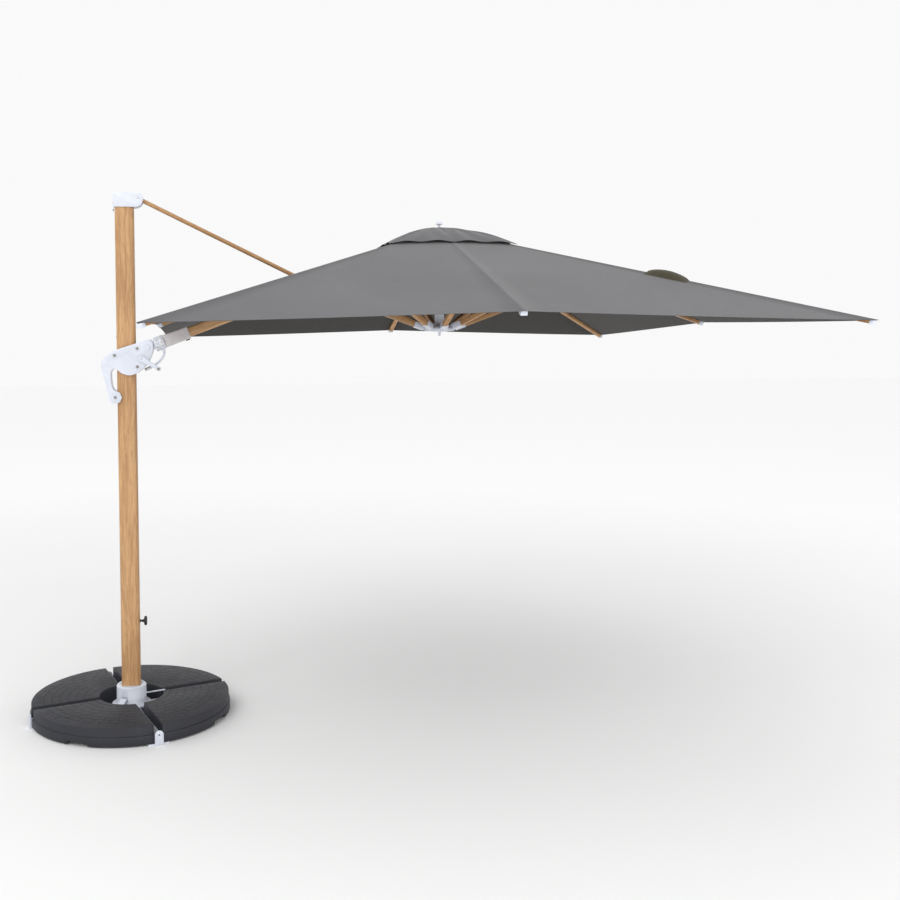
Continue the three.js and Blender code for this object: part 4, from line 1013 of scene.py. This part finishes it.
def round_bolt(name, radius, height):
    """A domed bolt head with a recess, made along +Z from its seat."""
    deselect_all()
    bpy.ops.mesh.primitive_cylinder_add(
        vertices=24, radius=radius, depth=height, location=(0, 0, height / 2)
    )
    piece = bpy.context.object
    piece.name = name
    settle(piece)
    bpy.ops.object.mode_set(mode="EDIT")
    select_faces(piece, lambda place, normal: normal.z > 0.9)
    bpy.ops.mesh.inset(thickness=radius * 0.34, depth=height * 0.10)
    bpy.ops.mesh.inset(thickness=radius * 0.10, depth=0.0)
    bpy.ops.mesh.inset(thickness=radius * 0.02, depth=-height * 0.45)
    bpy.ops.object.mode_set(mode="OBJECT")
    bevel(piece, radius * 0.07, 2, 35)
    smooth(piece, 35)
    return piece


def ring_band(name, inner, outer, height, segments=48):
    """A flat ring made along +Z from its seat."""
    deselect_all()
    bpy.ops.mesh.primitive_circle_add(vertices=segments, radius=inner, fill_type="NOTHING")
    piece = bpy.context.object
    piece.name = name
    bpy.ops.object.mode_set(mode="EDIT")
    bpy.ops.mesh.select_mode(type="VERT")
    bpy.ops.mesh.select_all(action="SELECT")
    bpy.ops.mesh.extrude_region_move(TRANSFORM_OT_translate={"value": (0, 0, 0)})
    bpy.ops.transform.resize(value=(outer / inner, outer / inner, 1.0))
    bpy.ops.object.mode_set(mode="OBJECT")
    solid = piece.modifiers.new("Height", "SOLIDIFY")
    solid.thickness = height
    solid.offset = 1.0
    apply_modifiers(piece)
    bpy.ops.object.mode_set(mode="EDIT")
    bpy.ops.mesh.select_all(action="SELECT")
    bpy.ops.mesh.normals_make_consistent(inside=False)
    bpy.ops.object.mode_set(mode="OBJECT")
    lowest = min(v.co.z for v in piece.data.vertices)
    piece.location.z = -lowest
    settle(piece)
    bevel(piece, height * 0.3, 2, 35)
    smooth(piece, 35)
    return piece


def middle_of(node):
    low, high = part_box(node)
    return (low + high) / 2


def ring_pair(ring, name, middle):
    """Copies a ring onto the outer faces of both cheeks, round one axis."""
    front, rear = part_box("cheek_front")[0].y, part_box("cheek_rear")[1].y
    for side, face, y in ((-1, "front", front), (1, "rear", rear)):
        twin = copy_of(ring, f"{name}_{face}")
        aimed(twin, (middle.x, y - side * SEAT_DEPTH, middle.z), (0, side, 0))
        add_materials(twin, white_plastic())
        finish_piece(twin, "carriage")


class PARASOL_OT_carriage(bpy.types.Operator):
    """Finishes the sliding carriage, its rollers, screws and crank"""

    bl_idname = "parasol.carriage"
    bl_label = "Carriage and crank"
    bl_options = {"REGISTER", "UNDO"}

    def execute(self, context):
        dress(["cheek_front", "cheek_rear"], white_plastic(), 0.0032)
        dress(["boom_pivot_pin"], white_plastic(), 0.0010)
        dress(["crank_arm", "crank_knob"], white_plastic(), 0.0018)
        dress(["crank_shaft"], steel(), 0.0004)
        rollers = ["upper_left", "upper_right", "lower_right", "handle"]
        dress([f"roller_{r}" for r in rollers], black_plastic(), 0.0007)
        dress([f"axle_{r}" for r in rollers], screw_plastic(), 0.0012)
        seat = ring_band("screw_seat", 0.0086, 0.0126, 0.0016)
        for roller in rollers:
            ring_pair(seat, f"screw_seat_{roller}", middle_of(f"axle_{roller}"))
        rim = ring_band("handle_ring", 0.0190, 0.0222, 0.0014)
        ring_pair(rim, "handle_ring", middle_of("axle_handle"))
        self.crank_ring()
        cap = ring_band("pivot_ring", 0.0150, 0.0172, 0.0009)
        ring_pair(cap, "pivot_ring", BOOM_PIVOT)
        for pattern in (seat, rim, cap):
            bpy.data.objects.remove(pattern)
        return {"FINISHED"}

    def crank_ring(self):
        low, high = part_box("crank_knob")
        place = ((low.x + high.x) / 2, low.y + 0.0002, (low.z + high.z) / 2)
        end = ring_band("crank_ring", 0.0070, 0.0118, 0.0030)
        aimed(end, place, (0, -1, 0))
        add_materials(end, white_plastic())
        finish_piece(end, "crank_knob")
        disc = round_bolt("crank_cap", 0.0066, 0.0016)
        aimed(disc, place, (0, -1, 0))
        add_materials(disc, screw_plastic())
        finish_piece(disc, "crank_knob")


class PARASOL_OT_boom_fittings(bpy.types.Operator):
    """Finishes the boom's collars, lever, sleeve and tie ring, with their screws"""

    bl_idname = "parasol.boom_fittings"
    bl_label = "Boom fittings"
    bl_options = {"REGISTER", "UNDO"}

    def execute(self, context):
        dress(["boom_yoke", "tilt_collar", "tie_ring"], white_plastic(), 0.0018)
        dress(["boom_sleeve"], sleeve_plastic(), 0.0016)
        self.lever()
        self.collar_screws()
        self.sleeve_tab()
        return {"FINISHED"}

    def lever(self):
        piece = worked_copy("tilt_lever", "tilt_lever_finished", 0.0006, 40)
        swell = piece.modifiers.new("Swell", "DISPLACE")
        swell.strength = 0.0016
        swell.mid_level = 0.0
        apply_modifiers(piece)
        add_materials(piece, white_plastic(), steel())
        lowest = min(v.co.z for v in piece.data.vertices)
        for face in piece.data.polygons:
            face.material_index = 1 if face.center.z < lowest + 0.020 else 0
        finish_piece(piece, "tilt_lever")

    def collar_screws(self):
        screw = round_bolt("collar_screw", 0.0034, 0.0022)
        reach = 0.0374
        up = BOOM_DIRECTION.cross(Vector((0, 1, 0))) * -1
        for number, angle in enumerate((-62, -90, -118, 62, 118)):
            turn = math.radians(angle)
            out = Vector((0, 1, 0)) * math.sin(turn) + up * math.cos(turn)
            for row, along in enumerate((0.050, 0.075)):
                twin = copy_of(screw, f"collar_screw_{row + 1}_{number + 1}")
                aimed(twin, BOOM_PIVOT + BOOM_DIRECTION * along + out * reach, out)
                add_materials(twin, brass_screw())
                finish_piece(twin, "yoke" if row == 0 else "boom")
        bpy.data.objects.remove(screw)

    def sleeve_tab(self):
        down = BOOM_DIRECTION.cross(Vector((0, 1, 0)))
        if down.z > 0:
            down = -down
        deselect_all()
        bpy.ops.mesh.primitive_cube_add(size=1.0)
        piece = bpy.context.object
        piece.name = "sleeve_tab"
        piece.scale = (0.012, 0.022, 0.005)
        settle(piece)
        bpy.ops.object.mode_set(mode="EDIT")
        select_faces(piece, lambda place, normal: normal.z > 0.9)
        bpy.ops.mesh.inset(thickness=0.002, depth=0.0012)
        bpy.ops.object.mode_set(mode="OBJECT")
        bevel(piece, 0.0008, 2, 30)
        smooth(piece, 35)
        aimed(piece, BOOM_PIVOT + BOOM_DIRECTION * 0.206 + down * 0.0348, down)
        add_materials(piece, black_plastic())
        finish_piece(piece, "boom")


def brass_screw():
    return shared(brushed_steel, "Yellow zinc screw", (0.60, 0.50, 0.28))


class PARASOL_OT_crown(bpy.types.Operator):
    """Finishes the crown, the runner, the centre tube, the finial and the lift cord"""

    bl_idname = "parasol.crown"
    bl_label = "Crown and runner"
    bl_options = {"REGISTER", "UNDO"}

    def execute(self, context):
        dress(["crown_hub", "runner", "centre_tube", "finial"], white_plastic(), 0.0010)
        dress(["hub_wire"], steel(), 0.0, 60)
        dress(["lift_cord"], shared(braided_cord, "Braided cord", (0.62, 0.60, 0.55)), 0.0, 60)
        return {"FINISHED"}


class PARASOL_OT_stage(bpy.types.Operator):
    """Lays the pale floor and sets the soft lights and the camera"""

    bl_idname = "parasol.stage"
    bl_label = "Stage"
    bl_options = {"REGISTER", "UNDO"}

    def execute(self, context):
        stage = context.scene.parasol_stage
        self.camera(context, stage)
        self.floor(stage)
        self.lights(context)
        context.scene.view_settings.view_transform = "Standard"
        return {"FINISHED"}

    def camera(self, context, stage):
        data = bpy.data.cameras.new("Camera")
        data.lens = stage.lens
        data.sensor_width = 36.0
        data.shift_x, data.shift_y = stage.shift
        data.dof.use_dof = False
        data.clip_end = 200.0
        camera = bpy.data.objects.new("Camera", data)
        context.collection.objects.link(camera)
        heading, pitch, roll = stage.camera_turn
        camera.matrix_world = (
            Matrix.Translation(stage.camera_place)
            @ Matrix.Rotation(heading, 4, "Z")
            @ Matrix.Rotation(math.pi / 2 + pitch, 4, "X")
            @ Matrix.Rotation(roll, 4, "Z")
        )
        context.scene.camera = camera

    def floor(self, stage):
        bench = NodeBench("Pale floor")
        cloud = bench.add("ShaderNodeTexNoise", {"Vector": bench.object_place(), "Scale": 0.7, "Detail": 3.0})
        pale = tuple(stage.floor)
        near = bench.ramp(cloud.outputs["Fac"], (0.3, tuple(c * 0.99 for c in pale)), (0.7, pale))
        spot = bench.add("ShaderNodeTexCoord").outputs["Object"]
        reach = bench.add("ShaderNodeVectorMath", {0: spot}, operation="LENGTH").outputs["Value"]
        fade = bench.math("SUBTRACT", bench.math("MULTIPLY", reach, 0.16), 0.5)
        away = bench.math("MINIMUM", bench.math("MAXIMUM", fade, 0.0), 1.0)
        blend = bench.add("ShaderNodeMix", {0: away, 6: near, 7: (0.985, 0.985, 0.985, 1.0)}, data_type="RGBA")
        tint = blend.outputs[2]
        material = bench.set(Base_Color=tint, Roughness=0.9)
        deselect_all()
        bpy.ops.mesh.primitive_plane_add(size=120.0, location=(0, 0, FLOOR_LEVEL))
        floor = bpy.context.object
        floor.name = "floor"
        settle(floor)
        add_materials(floor, material)

    def lights(self, context):
        world = context.scene.world or bpy.data.worlds.new("World")
        context.scene.world = world
        world.use_nodes = True
        background = world.node_tree.nodes["Background"]
        background.inputs["Color"].default_value = (1.0, 1.0, 1.0, 1.0)
        background.inputs["Strength"].default_value = 0.95
        for name, place, size, power in (
            ("Key", (-3.5, -6.0, 6.5), 5.0, 260.0),
            ("Fill", (6.5, -6.5, 3.2), 6.0, 120.0),
            ("Low", (1.2, -5.5, 0.7), 3.0, 25.0),
        ):
            data = bpy.data.lights.new(name, "AREA")
            data.size = size
            data.energy = power
            light = bpy.data.objects.new(name, data)
            context.collection.objects.link(light)
            aim = Vector((1.2, 0.0, 1.6)) - Vector(place)
            turn = aim.to_track_quat("-Z", "Y").to_matrix().to_4x4()
            light.matrix_world = Matrix.Translation(place) @ turn


OPERATORS = (
    PARASOL_OT_stage,
    PARASOL_OT_canopy,
    PARASOL_OT_hip_flap,
    PARASOL_OT_vent_cap,
    PARASOL_OT_arms,
    PARASOL_OT_stretchers,
    PARASOL_OT_timber,
    PARASOL_OT_base,
    PARASOL_OT_mast_fittings,
    PARASOL_OT_carriage,
    PARASOL_OT_boom_fittings,
    PARASOL_OT_crown,
)

SETTINGS = {
    "parasol_canopy": ParasolCanopySettings,
    "parasol_timber": ParasolTimberSettings,
    "parasol_plastics": ParasolPlasticSettings,
    "parasol_ballast": ParasolBallastSettings,
    "parasol_stage": ParasolStageSettings,
}


class PARASOL_PT_panel(bpy.types.Panel):
    """Lists the parasol's operators and settings"""

    bl_label = "Parasol"
    bl_idname = "PARASOL_PT_panel"
    bl_space_type = "VIEW_3D"
    bl_region_type = "UI"
    bl_category = "Parasol"

    def draw(self, context):
        for operator in OPERATORS:
            self.layout.operator(operator.bl_idname)
        for name, group in SETTINGS.items():
            settings = getattr(context.scene, name)
            box = self.layout.box()
            for key in group.__annotations__:
                box.prop(settings, key)


CLASSES = (*SETTINGS.values(), *OPERATORS, PARASOL_PT_panel)


def register():
    for item in CLASSES:
        bpy.utils.register_class(item)
    for name, group in SETTINGS.items():
        setattr(bpy.types.Scene, name, bpy.props.PointerProperty(type=group))


def unregister():
    for name in SETTINGS:
        delattr(bpy.types.Scene, name)
    for item in reversed(CLASSES):
        bpy.utils.unregister_class(item)


def main():
    register()
    for operator in OPERATORS:
        getattr(bpy.ops.parasol, operator.bl_idname.split(".")[1])()
    deselect_all()


if __name__ == "__main__":
    main()
